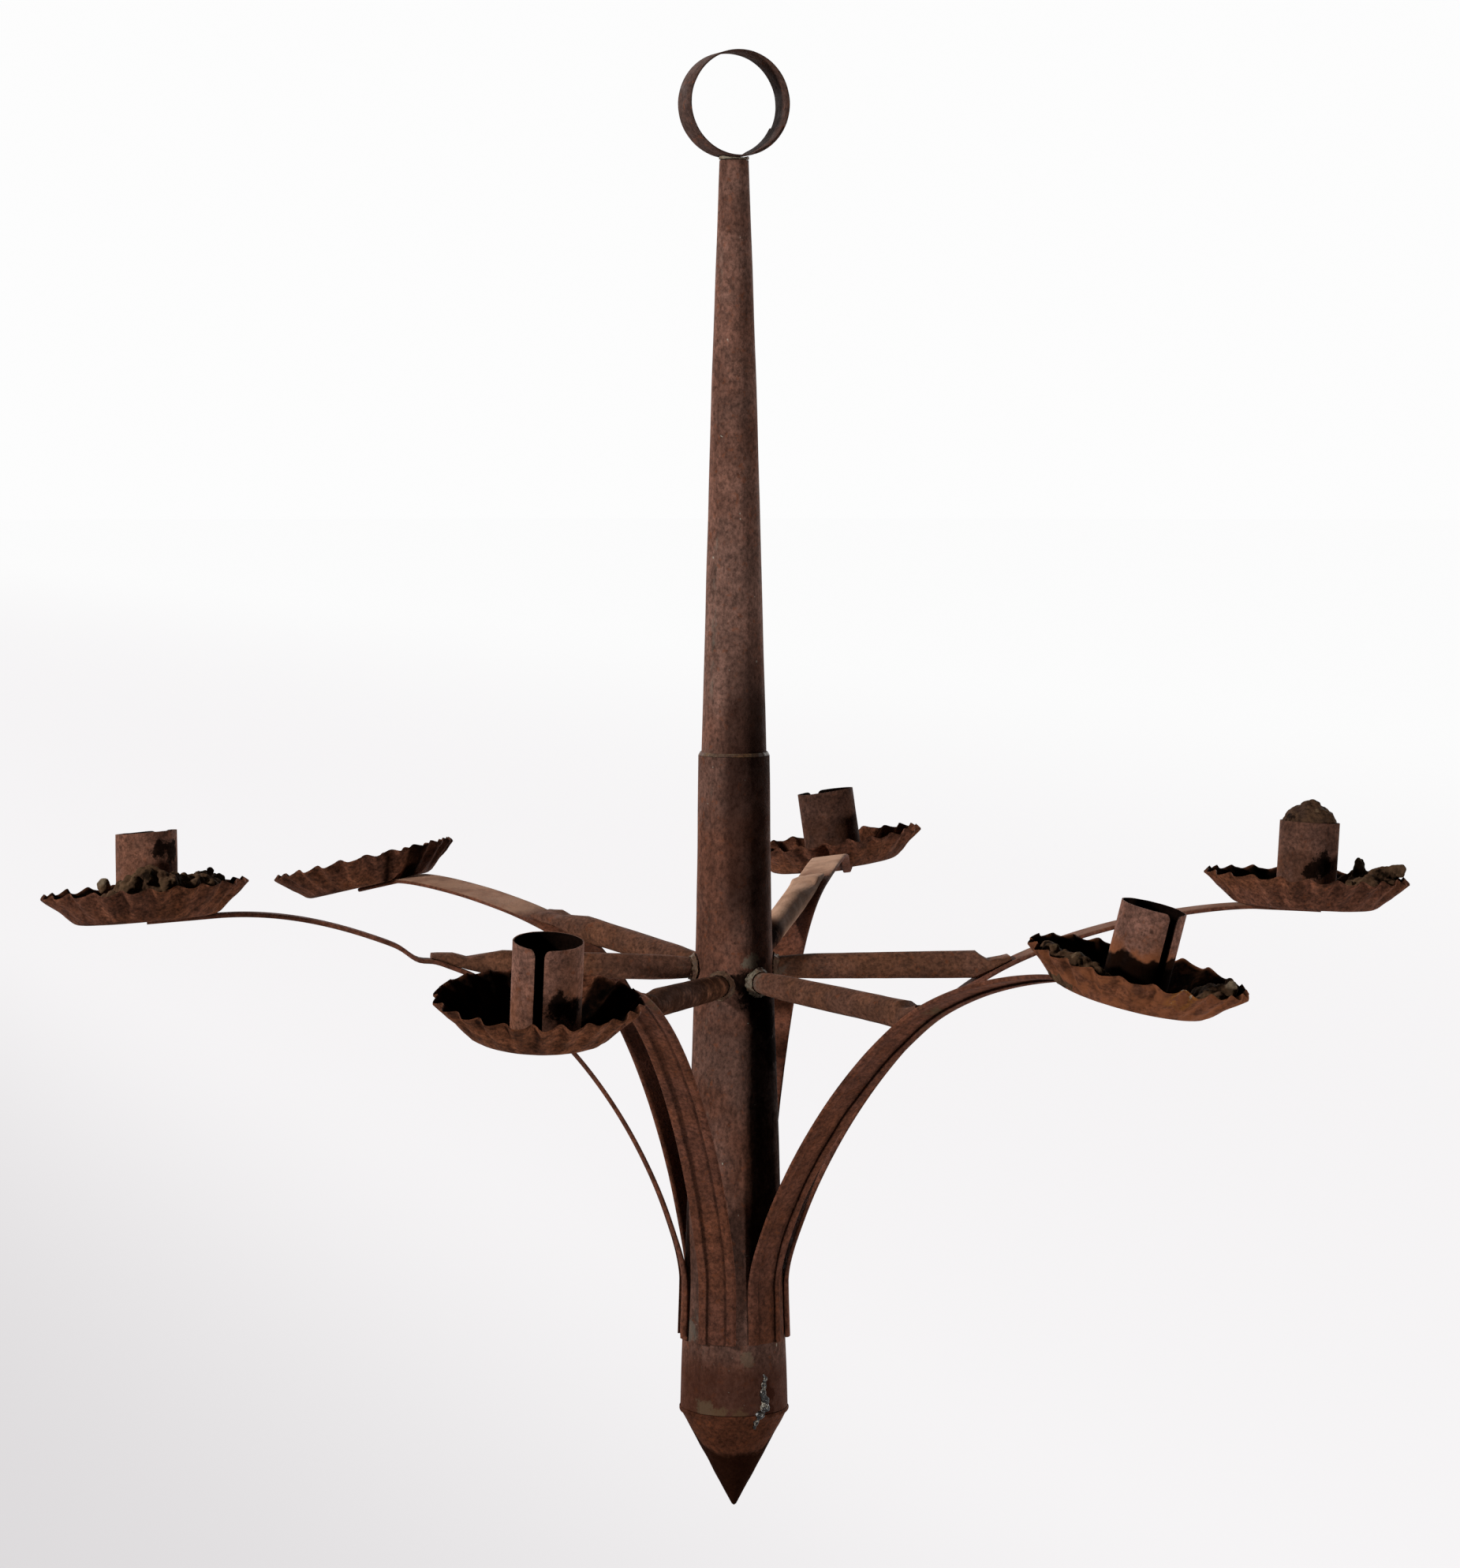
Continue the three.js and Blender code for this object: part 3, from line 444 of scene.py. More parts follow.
def make_socket(light, seed):
    """Candle socket rolled from a strip, with an open slit and rounded corners beside it."""
    sides, levels = 96, 26
    outer, height = light["socket_diameter"] / 2, light["socket_height"]
    half = SOCKET_SLIT / 2 / outer
    share = np.linspace(0, 1, sides + 1)
    share = np.sort(np.concatenate([share, [0.004, 0.01, 0.018, 0.026, 0.974, 0.982, 0.99, 0.996]]))
    angle = half + share * (TAU - 2 * half)
    from_slit = np.minimum(share, 1 - share) * (TAU - 2 * half) * outer
    corner = np.where(from_slit < SLIT_CORNER,
                      SLIT_CORNER - np.sqrt(np.maximum(0, SLIT_CORNER ** 2 - (SLIT_CORNER - from_slit) ** 2)), 0)
    uneven = 0.22 * np.array([noise.noise(Vector((math.cos(a) * 1.7, math.sin(a) * 1.7, seed))) for a in angle])
    oval = 1 + 0.008 * np.cos(2 * angle + seed)
    top = height - corner - np.abs(uneven)

    def outline(level):
        z = top * level
        dent = 0.1 * np.array([noise.noise(Vector((math.cos(a) * 2.4, math.sin(a) * 2.4, seed + level * 2.2)))
                               for a in angle])
        flare = 0.25 * np.exp(-from_slit / 3.0) * (level - 0.4)
        out = np.minimum(outer * oval + dent + flare, outer + 0.05)
        wall = np.stack([out * np.cos(angle), out * np.sin(angle), z], axis=1)
        bore = np.stack([(out - TIN) * np.cos(angle), (out - TIN) * np.sin(angle), z], axis=1)
        return np.concatenate([wall, bore[::-1]])

    # Painted shade, darkest on the right and back right sockets
    painted_shade = {"right": 0.42, "back_right": 0.6, "left": 0.1}.get(light["name"], 0.0)
    grades = np.linspace(0, 1, levels)
    points, faces = skin([outline(g) for g in grades])
    turn = math.radians(light["azimuth"] - light["slit_azimuth"])
    spin = np.array([[math.cos(turn), -math.sin(turn), 0], [math.sin(turn), math.cos(turn), 0], [0, 0, 1]]).T
    placed = points @ spin + np.array([0, light["socket_shift"], TIN + SEAT_FIT])
    placed[:, 0] += light["lean"] * points[:, 2] / height
    count = len(angle)
    inner = np.tile(np.concatenate([np.zeros(count), np.ones(count)]), levels)
    rise = np.repeat(grades, count * 2)
    return make_piece(f"socket_{light['name']}", f"candle_socket_{light['name']}", to_model(light, placed), faces,
                      {"inner": inner, "rise": rise, "painted_shade": np.full(len(rise), painted_shade),
                       "fresh": np.full(len(rise), 1.0 if light["name"] == "front_right" else 0.3)}, 40)


# Shaft, cone and ring

def make_shaft(name, node, stations, seed):
    """Tapered tube rolled from sheet, with a lap seam down its side and slight dents."""
    sides = 144
    lengths = abs(stations[-1][0] - stations[0][0])
    zs = np.unique(np.concatenate([[s[0] for s in stations],
                                   np.linspace(stations[0][0], stations[-1][0], int(lengths / 3))]))[::-1]
    radius = np.interp(-zs, [-s[0] for s in stations], [s[1] for s in stations])
    turn = np.arange(sides + 1) / sides * 360
    turn[-1] = 359.0
    fall = 0.4 * np.maximum(0, 1 - turn / 54)
    fall[-1] = 0
    angle = np.radians(SEAM_AZIMUTH + turn)
    around = np.stack([np.cos(angle), -np.sin(angle)], axis=1)

    def ring(z, r):
        p = np.stack([around[:, 0] * r, around[:, 1] * r, np.full(sides + 1, z)], axis=1)
        return p

    rings = []
    for z, r in zip(zs, radius):
        base = ring(z, r - fall)
        sway = 0.14 * rumble(base * np.array([1, 1, 0.35]), 8, seed) - 0.06
        rings.append(ring(z, r - fall + np.minimum(sway, 0.05)))
    inside = [ring(z, np.full(sides + 1, r - SHAFT_WALL)) for z, r in zip(zs[::-1], radius[::-1])]
    points, faces = skin(rings + inside, loop=True)
    return make_piece(name, node, points, faces, None, 35)


def make_cone(seed):
    sides = 120
    profile = [(0.35, CONE_TIP + 0.05), (1.1, CONE_TIP + 0.7), (CONE_TIP * 0 + 1.7, CONE_TIP + 1.9)]
    low_r, low_z = 1.7, CONE_TIP + 1.9
    high_r, high_z = LIP_RADIUS - 1.0, CONE_TOP - 2.2
    profile += [(low_r + (high_r - low_r) * t, low_z + (high_z - low_z) * t) for t in np.linspace(0.05, 1, 22)]
    profile += [(LIP_RADIUS - 0.3, CONE_TOP - 1.6), (LIP_RADIUS, CONE_TOP - 1.1), (LIP_RADIUS, CONE_TOP - 0.4),
                (LIP_RADIUS - 0.3, CONE_TOP), (LIP_RADIUS - 1.2, CONE_TOP), (2.5, CONE_TIP + 6)]
    angle = np.arange(sides) / sides * TAU
    rings = []
    for k, (r, z) in enumerate(profile):
        base = np.stack([r * np.cos(angle), r * np.sin(angle), np.full(sides, z)], axis=1)
        dent = 0.25 * rumble(base, 7, seed) * min(1, r / 8) - 0.12
        if k == len(profile) - 1:
            dent = np.zeros(sides)
        rings.append(np.stack([(r + np.minimum(dent, 0)) * np.cos(angle),
                               (r + np.minimum(dent, 0)) * np.sin(angle), np.full(sides, z)], axis=1))
    points, faces = skin(rings)
    return make_piece("cone_end", "bottom_cone", points, faces, None, 45)


def make_ring(seed):
    """Hanging ring: one strip bent round, its inner end lapped over the bottom."""
    steps = 168
    lap = 46.0
    turn = np.linspace(0, 360 + lap, steps)
    start = RING_LAP_START + lap
    inward = (TIN + 0.03) * smooth(turn, 356, 366)
    rings = []
    for k in range(steps):
        a = math.radians(start + turn[k])
        r = RING_RADIUS - inward[k] + 0.1 * noise.noise(Vector((math.cos(a) * 1.5, math.sin(a) * 1.5, seed)))
        width = RING_WIDTH / 2 - 0.25 * abs(noise.noise(Vector((turn[k] / 25, seed, 1))))
        t = TIN / 2 - 0.01
        section = [(-width, -t * 0.6), (-width + 0.2, -t), (0, -t), (width - 0.2, -t), (width, -t * 0.6),
                   (width, t * 0.6), (width - 0.2, t), (0, t), (-width + 0.2, t), (-width, t * 0.6)]
        rings.append([((r + v) * math.cos(a), u, (r + v) * math.sin(a)) for u, v in section])
    points, faces = skin(np.array(rings))
    yaw = math.radians(RING_YAW)
    spin = np.array([[math.cos(yaw), -math.sin(yaw), 0], [math.sin(yaw), math.cos(yaw), 0], [0, 0, 1]]).T
    points = points @ spin + np.array([0, 0, RING_CENTRE_Z])
    return make_piece("hanging_strap", "hanging_ring", points, faces, None, 40)


# Solder, wax and tar, melted together from lumps

def melt(mesh, voxel, rough, seed, grow=0.0):
    """Points and faces of a mesh, in millimetres, remeshed, softened and roughened."""
    holder = bpy.data.objects.new("melting", mesh)
    bpy.context.scene.collection.objects.link(holder)
    remesh = holder.modifiers.new("remesh", "REMESH")
    remesh.mode = "VOXEL"
    remesh.voxel_size = voxel * MM
    soften = holder.modifiers.new("soften", "SMOOTH")
    soften.factor = 0.6
    soften.iterations = 3
    graph = bpy.context.evaluated_depsgraph_get()
    made = bpy.data.meshes.new_from_object(holder.evaluated_get(graph))
    bpy.data.objects.remove(holder)
    bpy.data.meshes.remove(mesh)
    places = np.empty(len(made.vertices) * 3, np.float32)
    normals = np.empty_like(places)
    made.vertices.foreach_get("co", places)
    made.vertex_normals.foreach_get("vector", normals)
    places, normals = places.reshape(-1, 3) / MM, normals.reshape(-1, 3)
    relief = rumble(places, rough * 4, seed) * 0.65 + rumble(places, rough * 1.6, seed + 3) * 0.35
    places = places + normals * ((relief - 0.25) * rough + grow)[:, None]
    faces = [list(p.vertices) for p in made.polygons]
    bpy.data.meshes.remove(made)
    return places, faces


def make_lumpy(node, name, voxel, rough, seed, grow=0.0, lumps=()):
    """A softer, uneven copy of a CAD solid, with lumps on it."""
    points, faces = melt(lump_mesh(lumps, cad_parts[node].data), voxel, rough, seed, grow)
    return make_piece(name, node, points, faces, None, 80)


def lump_mesh(lumps, start=None):
    """Ellipsoids, each given by its centre and its half sizes in millimetres, as one mesh."""
    work = bmesh.new()
    if start:
        work.from_mesh(start)
    for centre, half in lumps:
        shape = Matrix.Translation(Vector(centre) * MM) @ Matrix.Diagonal([h * MM for h in half] + [1])
        bmesh.ops.create_icosphere(work, subdivisions=3, radius=1, matrix=shape)
    mesh = bpy.data.meshes.new("lumps")
    work.to_mesh(mesh)
    work.free()
    return mesh


def crumbs(course, seed, count, spread):
    """Lumps strewn along a course of angle, distance and top, each wobbling to its own place and size."""
    random = np.random.default_rng(seed)
    course = np.array(course, float)
    at = np.linspace(0, 1, len(course))
    pick = lambda t: [np.interp(t, at, course[:, k]) for k in range(3)]
    lumps = []
    for t in np.linspace(0, 1, 2 * len(course)):
        angle, distance, top = pick(t)
        lumps.append((angle, distance, 4.6, 0.5, max(top - 3, 3)))
    for t in random.random(count):
        angle, distance, top = pick(t)
        half = random.uniform(1.6, 3.0)
        aside = random.uniform(-1, 1)
        high = top - abs(aside) ** 1.5 * 3.5 - random.uniform(0, 1.8)
        lumps.append((angle + random.uniform(-4, 4), distance + aside * spread, half, high - half * 2.3, high))
    return lumps


def make_wax(node, light, lumps, pale, seed):
    """Wax drips in a pan: each lump's angle, distance, half width, foot and top in the pan's frame."""
    placed = []
    for angle, distance, half, foot, top in lumps:
        a, middle = math.radians(angle), (foot + top) / 2
        short = 1 - middle / light["pan_depth"]
        if short > 0:
            distance = min(distance, light["pan_diameter"] / 2 - PAN_WALL_SPREAD * short - 1.2 * half)
        centre = (distance * math.cos(a), distance * math.sin(a), middle)
        placed.append((centre, (half, half, (top - foot) / 2)))
    points, faces = melt(lump_mesh(placed), 0.4, 0.8, seed)
    angle, distance, height = pale
    spot = np.array([distance * math.cos(math.radians(angle)), distance * math.sin(math.radians(angle)), height])
    near = 1 - smooth(np.linalg.norm(points - spot, axis=1), 2, 3.6)
    name = node.replace("candle_wax", "wax")
    return make_piece(name, node, to_model(light, points), faces, {"pale": near}, 80)


# For each heap of wax: its pan, a pale spot, the course, crumbs and spread of the heap, and further lumps
WAX = {
    "candle_wax_left": (
        "left", (8, 15.5, 15.5),
        [(0, 16, 11), (30, 16, 13), (60, 16.5, 17), (80, 16.5, 20.5), (100, 17, 22), (120, 17, 20.5),
         (138, 18, 18), (158, 20, 17), (175, 23, 18), (190, 26, 18.5), (206, 27, 18), (222, 24, 15), (240, 19, 11)],
        95, 5.5, [(8, 15.5, 3, 11, 17.5)]),
    "candle_wax_front_right_a": (
        "front_right", (262, 25, 14.5),
        [(212, 30, 11), (224, 31.5, 14), (240, 31, 15.5), (256, 28.5, 15.5), (272, 26, 15), (290, 23.5, 11)],
        46, 4, [(252, 22, 4, 0.5, 10.5), (270, 19, 4, 0.5, 10.5)]),
    "candle_wax_front_right_b": (
        "front_right", (50, 33, 14), [(34, 27, 9), (44, 30, 13), (54, 32.5, 15.5), (66, 31, 12)],
        14, 2.5, [(50, 33, 2.4, 8, 15)]),
    "candle_wax_right": (
        "right", (11, 22, 18), [(-50, 18, 11), (-28, 23, 15), (-10, 28, 15.8), (8, 27, 15.8), (26, 25, 15.2),
                               (46, 21, 12)],
        70, 7.5, [(11, 22, 2.4, 8, 20.2), (14, 23.5, 2.4, 8, 19.8), (18, 24, 2.4, 8, 17)] + [
            (-8 + 0.4 * k, 26 + 1.15 * k, 2.6 - 0.04 * k, 10 + 0.3 * k, 16.6 + 0.24 * k) for k in range(11)]),
}


def make_tar():
    """Drip of black tar down the front of the shaft and over the cone's lip."""
    drip = [(-514.5, 0.7, 0.8), (-516, 1.1, 1.6), (-518.5, 1.3, 2), (-521.5, 1.5, 2.2), (-524.5, 1.9, 2.2),
            (-527.5, 2.3, 2), (-530, 2.2, 1.8), (-532.6, 1.4, 1.8), (-534.5, 0.9, 1.5)]
    lumps = []
    for k, (z, half, tall) in enumerate(drip):
        radius = float(shaft_radius(z)) if z > CONE_TOP else LIP_RADIUS + (CONE_TOP - z) * -0.5
        a = math.radians(56 - 1.5 * math.sin(k * 1.7) + max(0, -z - 527) * 1.5)
        lumps.append(((radius * math.cos(a), -radius * math.sin(a), z), (half, half * 0.9, tall)))
    points, faces = melt(lump_mesh(lumps), 0.3, 0.5, 21)
    return make_piece("tar_drip", None, points, faces, None, 80)


# Materials

class Nodes:
    """Short forms for building one material's node tree."""

    def __init__(self, name):
        self.material = bpy.data.materials.new(name)
        self.material.use_nodes = True
        self.tree = self.material.node_tree
        self.tree.nodes.clear()
        self.out = self.add("ShaderNodeOutputMaterial")
        self.coord = self.add("ShaderNodeTexCoord").outputs["Object"]

    def add(self, kind, **settings):
        node = self.tree.nodes.new(kind)
        for key, value in settings.items():
            setattr(node, key, value)
        return node

    def link(self, a, b):
        self.tree.links.new(a, b)

    def value(self, socket, target):
        if isinstance(socket, (int, float)):
            target.default_value = socket
        else:
            self.link(socket, target)

    def noise(self, scale, detail=3.0, rough=0.55, offset=(0, 0, 0), stretch=(1, 1, 1)):
        """Noise whose features are about 1 / scale metres, from 0 to 1."""
        mapping = self.add("ShaderNodeMapping")
        mapping.inputs["Location"].default_value = offset
        mapping.inputs["Scale"].default_value = stretch
        self.link(self.coord, mapping.inputs["Vector"])
        node = self.add("ShaderNodeTexNoise")
        node.inputs["Scale"].default_value = scale
        node.inputs["Detail"].default_value = detail
        node.inputs["Roughness"].default_value = rough
        self.link(mapping.outputs["Vector"], node.inputs["Vector"])
        return node.outputs["Fac"]

    def ramp(self, socket, low, high, from_value=0.0, to_value=1.0):
        node = self.add("ShaderNodeMapRange", interpolation_type="SMOOTHSTEP")
        for key, value in zip(("From Min", "From Max", "To Min", "To Max"), (low, high, from_value, to_value)):
            node.inputs[key].default_value = value
        self.value(socket, node.inputs["Value"])
        return node.outputs["Result"]

    def maths(self, operation, a, b=0.0):
        node = self.add("ShaderNodeMath", operation=operation)
        self.value(a, node.inputs[0])
        self.value(b, node.inputs[1])
        return node.outputs[0]

    def mix(self, share, a, b):
        node = self.add("ShaderNodeMix", data_type="RGBA")
        self.value(share, node.inputs[0])
        for socket, target in ((a, node.inputs[6]), (b, node.inputs[7])):
            if isinstance(socket, tuple):
                target.default_value = (*socket, 1)
            else:
                self.link(socket, target)
        return node.outputs[2]

    def scale(self, colour, amount):
        node = self.add("ShaderNodeVectorMath", operation="SCALE")
        self.link(colour, node.inputs[0])
        self.value(amount, node.inputs["Scale"])
        return node.outputs[0]

    def near(self, place, radius):
        """Mask with a ragged edge round a place given in millimetres."""
        node = self.add("ShaderNodeVectorMath", operation="DISTANCE")
        self.link(self.coord, node.inputs[0])
        node.inputs[1].default_value = [v * MM for v in place]
        ragged = self.ramp(self.noise(260, 4, 0.75, place), 0.25, 0.75, -0.4 * radius * MM, 0.4 * radius * MM)
        return self.ramp(self.maths("ADD", node.outputs["Value"], ragged), radius * MM * 0.6, radius * MM, 1.0, 0.0)

    def mark(self, name):
        return self.add("ShaderNodeAttribute", attribute_name=name).outputs["Fac"]

    def grey(self, colour):
        node = self.add("ShaderNodeRGBToBW")
        self.link(colour, node.inputs[0])
        return node.outputs[0]

    def axis(self, index):
        split = self.add("ShaderNodeSeparateXYZ")
        self.link(self.coord, split.inputs[0])
        return split.outputs[index]

    def finish(self, colour, roughness, height=None, bump=0.0002, specular=0.08):
        shader = self.add("ShaderNodeBsdfPrincipled")
        self.link(colour, shader.inputs["Base Color"])
        self.value(roughness, shader.inputs["Roughness"])
        shader.inputs["Diffuse Roughness"].default_value = 0.6
        self.value(specular, shader.inputs["Specular IOR Level"])
        if height is not None:
            relief = self.add("ShaderNodeBump")
            relief.inputs["Distance"].default_value = bump
            relief.inputs["Strength"].default_value = 1.0
            self.link(height, relief.inputs["Height"])
            self.link(relief.outputs["Normal"], shader.inputs["Normal"])
        self.link(shader.outputs["BSDF"], self.out.inputs["Surface"])
        return self.material


def rgb(r, g, b):
    """Linear colour from the 0 to 255 values that a screen shows."""
    return tuple(((c / 255 + 0.055) / 1.055) ** 2.4 if c > 10 else c / 255 / 12.92 for c in (r, g, b))


def rust_base(n, main, warm, seed, grain, drawn=1.0):
    """Rust as layers of noise: broad warm patches, mottling, grain, orange freckles and dark pits."""
    shift = (seed * 0.37, seed * 0.21, seed * 0.11)
    broad = n.ramp(n.noise(27, 3, 0.6, shift), 0.4, 0.62)
    colour = n.mix(broad, main, warm)
    patch = n.ramp(n.noise(130, 4, 0.65, shift, (1, 1, drawn)), 0.34, 0.68, 0.74, 1.22)
    fine = n.noise(640, 4, 0.75, shift, (1, 1, (1 + drawn) / 2))
    colour = n.scale(colour, n.maths("MULTIPLY", patch, n.ramp(fine, 0.3, 0.7, 1 - 0.5 * grain, 1 + 0.5 * grain)))
    freckle = n.ramp(n.noise(380, 3, 0.6, (2, seed, 1)), 0.58, 0.7)
    colour = n.mix(n.maths("MULTIPLY", freckle, 0.4), colour, EMBER)
    pits = n.ramp(n.noise(300, 3, 0.7, (seed, 4, 1)), 0.6, 0.72)
    colour = n.mix(n.maths("MULTIPLY", pits, 0.55), colour, DEEP)
    relief = n.maths("ADD", n.maths("MULTIPLY", n.noise(150, 3, 0.6, shift), 0.5), fine)
    return colour, relief


def rust(name, main, warm, seed=0.0, extra=None, grain=1.0, drawn=1.0, bump=0.00025):
    n = Nodes(name)
    colour, relief = rust_base(n, main, warm, seed, grain, drawn)
    rough = n.ramp(n.noise(160, 3), 0.3, 0.7, 0.74, 0.95)
    if extra:
        colour, rough = extra(n, colour, rough)
    gloss = n.maths("MULTIPLY", n.ramp(n.mark("inner"), 0.3, 0.9, 0.08, 0.0), n.ramp(n.mark("painted_shade"), 0, 1, 1.0, 0.2))
    gloss = n.maths("MULTIPLY", gloss, n.ramp(n.grey(colour), 0.003, 0.035, 0.05, 1.0))
    return n.finish(colour, rough, relief, bump, gloss)


PURPLE = rgb(112, 82, 72)
BROWN = rgb(104, 70, 57)
ORANGE = rgb(104, 62, 44)
EMBER = rgb(132, 72, 42)
DEEP = rgb(46, 26, 18)
# Near black, for soot and for painted shade and painted shadows
SOOT_AND_SHADE = rgb(7, 5, 4)
GREY = rgb(124, 118, 106)
# Tan for wear, with painted light, on upper faces
TAN_WEAR_AND_LIGHT = rgb(200, 158, 131)
BONE = rgb(186, 178, 162)
OLIVE = rgb(96, 82, 60)


def seam_solder(n, colour, rough):
    """Grey-green solder down the lap seam in worn patches, and a few pale specks."""
    x, y = n.axis(0), n.axis(1)
    angle = n.maths("ARCTAN2", n.maths("MULTIPLY", y, -1.0), x)
    off = n.maths("ABSOLUTE", n.maths("SUBTRACT", angle, math.radians(SEAM_AZIMUTH + 4)))
    near = n.ramp(off, 0.03, 0.22, 1.0, 0.0)
    worn = n.ramp(n.noise(75, 4, 0.8, stretch=(1, 1, 0.5)), 0.54, 0.7)
    colour = n.mix(n.maths("MULTIPLY", n.maths("MULTIPLY", near, worn), 0.5), colour, GREY)
    specks = n.ramp(n.noise(560, 1, 0.3, (5, 2, 1)), 0.79, 0.83, 0.0, 0.7)
    return n.mix(specks, colour, BONE), rough


def shaft_dark_band(n, colour, rough):
    """Seam solder, and a darker band on the front and right of the shaft beside the candles."""
    colour, rough = seam_solder(n, colour, rough)
    z = n.maths("ADD", n.axis(2), n.ramp(n.noise(40, 3, 0.6, (1, 6, 2)), 0.3, 0.7, -0.008, 0.008))
    band = n.maths("MULTIPLY", n.ramp(z, -0.345, -0.32), n.ramp(z, -0.252, -0.215, 1.0, 0.0))
    side = n.maths("MULTIPLY", n.ramp(n.axis(0), -0.0065, -0.001), n.ramp(n.axis(1), -0.004, 0.006, 1.0, 0.0))
    side = n.maths("MULTIPLY", side, n.ramp(n.axis(0), 0.009, 0.0125, 1.0, 0.3))
    share = n.maths("MULTIPLY", n.maths("MULTIPLY", band, side), 0.68)
    return n.mix(share, colour, rgb(42, 20, 12)), rough


def base_grime_and_shadow(n, colour, rough):
    """Lower shaft: solder smeared by a brace, the strips' feet and the cone, painted shadow on its right below the
    braces and beside the front left brace's root, and dark at its foot.
    """
    colour, rough = shaft_dark_band(n, colour, rough)
    # Painted shadow down the right side of the lower shaft, below the braces
    x = n.maths("ADD", n.axis(0), n.ramp(n.noise(60, 3, 0.6, (4, 6, 2)), 0.3, 0.7, -0.0008, 0.0008))
    side = n.maths("MULTIPLY", n.ramp(x, 0.0048, 0.007), n.ramp(n.axis(1), 0.002, 0.01, 1.0, 0.0))
    band = n.maths("MULTIPLY", n.ramp(n.axis(2), -0.49, -0.465), n.ramp(n.axis(2), -0.366, -0.352, 1.0, 0.0))
    colour = n.mix(n.maths("MULTIPLY", n.maths("MULTIPLY", side, band), 0.85), colour, SOOT_AND_SHADE)
    # The first four dark spots are painted shadow to the right of the front left brace's root
    for place, radius, tint, share in [
        ((3, -15, -360), 6.5, SOOT_AND_SHADE, 0.9), ((8, -13, -366), 7.5, SOOT_AND_SHADE, 0.9), ((12.5, -9.5, -375), 8.0, SOOT_AND_SHADE, 0.9),
        ((15, -6, -388), 8.0, SOOT_AND_SHADE, 0.8), ((6.6, -13.3, -352), 4.2, rgb(140, 130, 112), 0.7),
        ((10.6, -10.7, -352.5), 3.0, SOOT_AND_SHADE, 0.7), ((-17.5, -10.5, -498), 5.5, GREY, 0.5),
        ((5, -19.6, -508), 3.6, rgb(128, 108, 88), 0.6), ((-12, -17.6, -528), 5.0, rgb(150, 134, 104), 0.7),
        ((12.8, -16.5, -518), 3.2, SOOT_AND_SHADE, 0.85), ((13.6, -16, -523), 4.0, SOOT_AND_SHADE, 0.9),
        ((13.4, -16.2, -528), 3.4, SOOT_AND_SHADE, 0.9), ((-6, -20.6, -530), 4.0, rgb(144, 124, 92), 0.8), ((2, -21, -531), 4.5, rgb(130, 108, 78), 0.8),
    ]:
        colour = n.mix(n.maths("MULTIPLY", n.near(place, radius), share), colour, tint)
    foot = n.ramp(n.axis(2), -0.504, -0.516)
    return n.mix(n.maths("MULTIPLY", foot, 0.65), colour, rgb(72, 37, 24)), rough


def strip_wear_and_light(n, colour, rough):
    """Painted shade as a dark line in the fold of each hem, solder streaks past the brace, and tan wear with painted
    light on top.
    """
    # Painted shade in the hem folds
    colour = n.mix(n.maths("MULTIPLY", n.mark("crease_shade"), 0.5), colour, SOOT_AND_SHADE)
    streak = n.ramp(n.noise(170, 4, 0.7, (1, 3, 2)), 0.5, 0.64)
    colour = n.mix(n.maths("MULTIPLY", n.maths("MULTIPLY", n.mark("smear"), streak), 0.55), colour, OLIVE)
    # Tan wear with painted light on the upper face
    worn = n.ramp(n.noise(75, 4, 0.7, (4, 3, 2)), 0.36, 0.6, 0.55, 1.0)
    colour = n.mix(n.maths("MULTIPLY", n.mark("tan"), worn), colour, TAN_WEAR_AND_LIGHT)
    return colour, rough


def pan_soot_and_shade(n, colour, rough):
    """Pans are near black inside, up to just below the rim, with painted shadow outside the back left pan."""
    ragged = n.ramp(n.noise(150, 4, 0.7), 0.36, 0.6, 0.9, 1.0)
    low = n.ramp(n.mark("rise"), 0.9, 1.0, 1.0, 0.5)
    share = n.maths("MULTIPLY", n.mark("inner"), n.maths("MULTIPLY", low, ragged))
    colour = n.scale(colour, n.ramp(n.noise(140, 4, 0.7, (6, 1, 3)), 0.34, 0.62, 0.6, 1.18))
    orange = n.ramp(n.noise(170, 3, 0.6, (2, 4, 6)), 0.42, 0.6, 0.12, 0.62)
    colour = n.mix(n.maths("MULTIPLY", n.mark("fresh"), orange), colour, rgb(154, 92, 58))
    colour, plain = n.mix(share, colour, SOOT_AND_SHADE), colour
    # Painted shadow outside the back left pan
    painted_shade = n.maths("MULTIPLY", n.mark("painted_shade"), n.ramp(n.noise(60, 3, 0.6), 0.25, 0.5, 0.5, 0.9))
    colour = n.mix(painted_shade, colour, SOOT_AND_SHADE)
    wall = n.ramp(n.mark("rise"), 0.25, 0.4)
    colour = n.mix(n.maths("MULTIPLY", n.maths("MULTIPLY", n.mark("bare"), n.mark("inner")), wall), colour, plain)
    ochre = n.ramp(n.noise(230, 3, 0.7, (3, 3, 1)), 0.42, 0.6)
    high = n.ramp(n.mark("rise"), 0.45, 0.7)
    stain = n.maths("MULTIPLY", n.maths("MULTIPLY", n.mark("stain"), high), ochre)
    colour = n.mix(n.maths("MULTIPLY", stain, 0.75), colour, rgb(156, 98, 40))
    return n.mix(n.ramp(stain, 0.9, 1.0, 0.0, 0.5), colour, BONE), rough


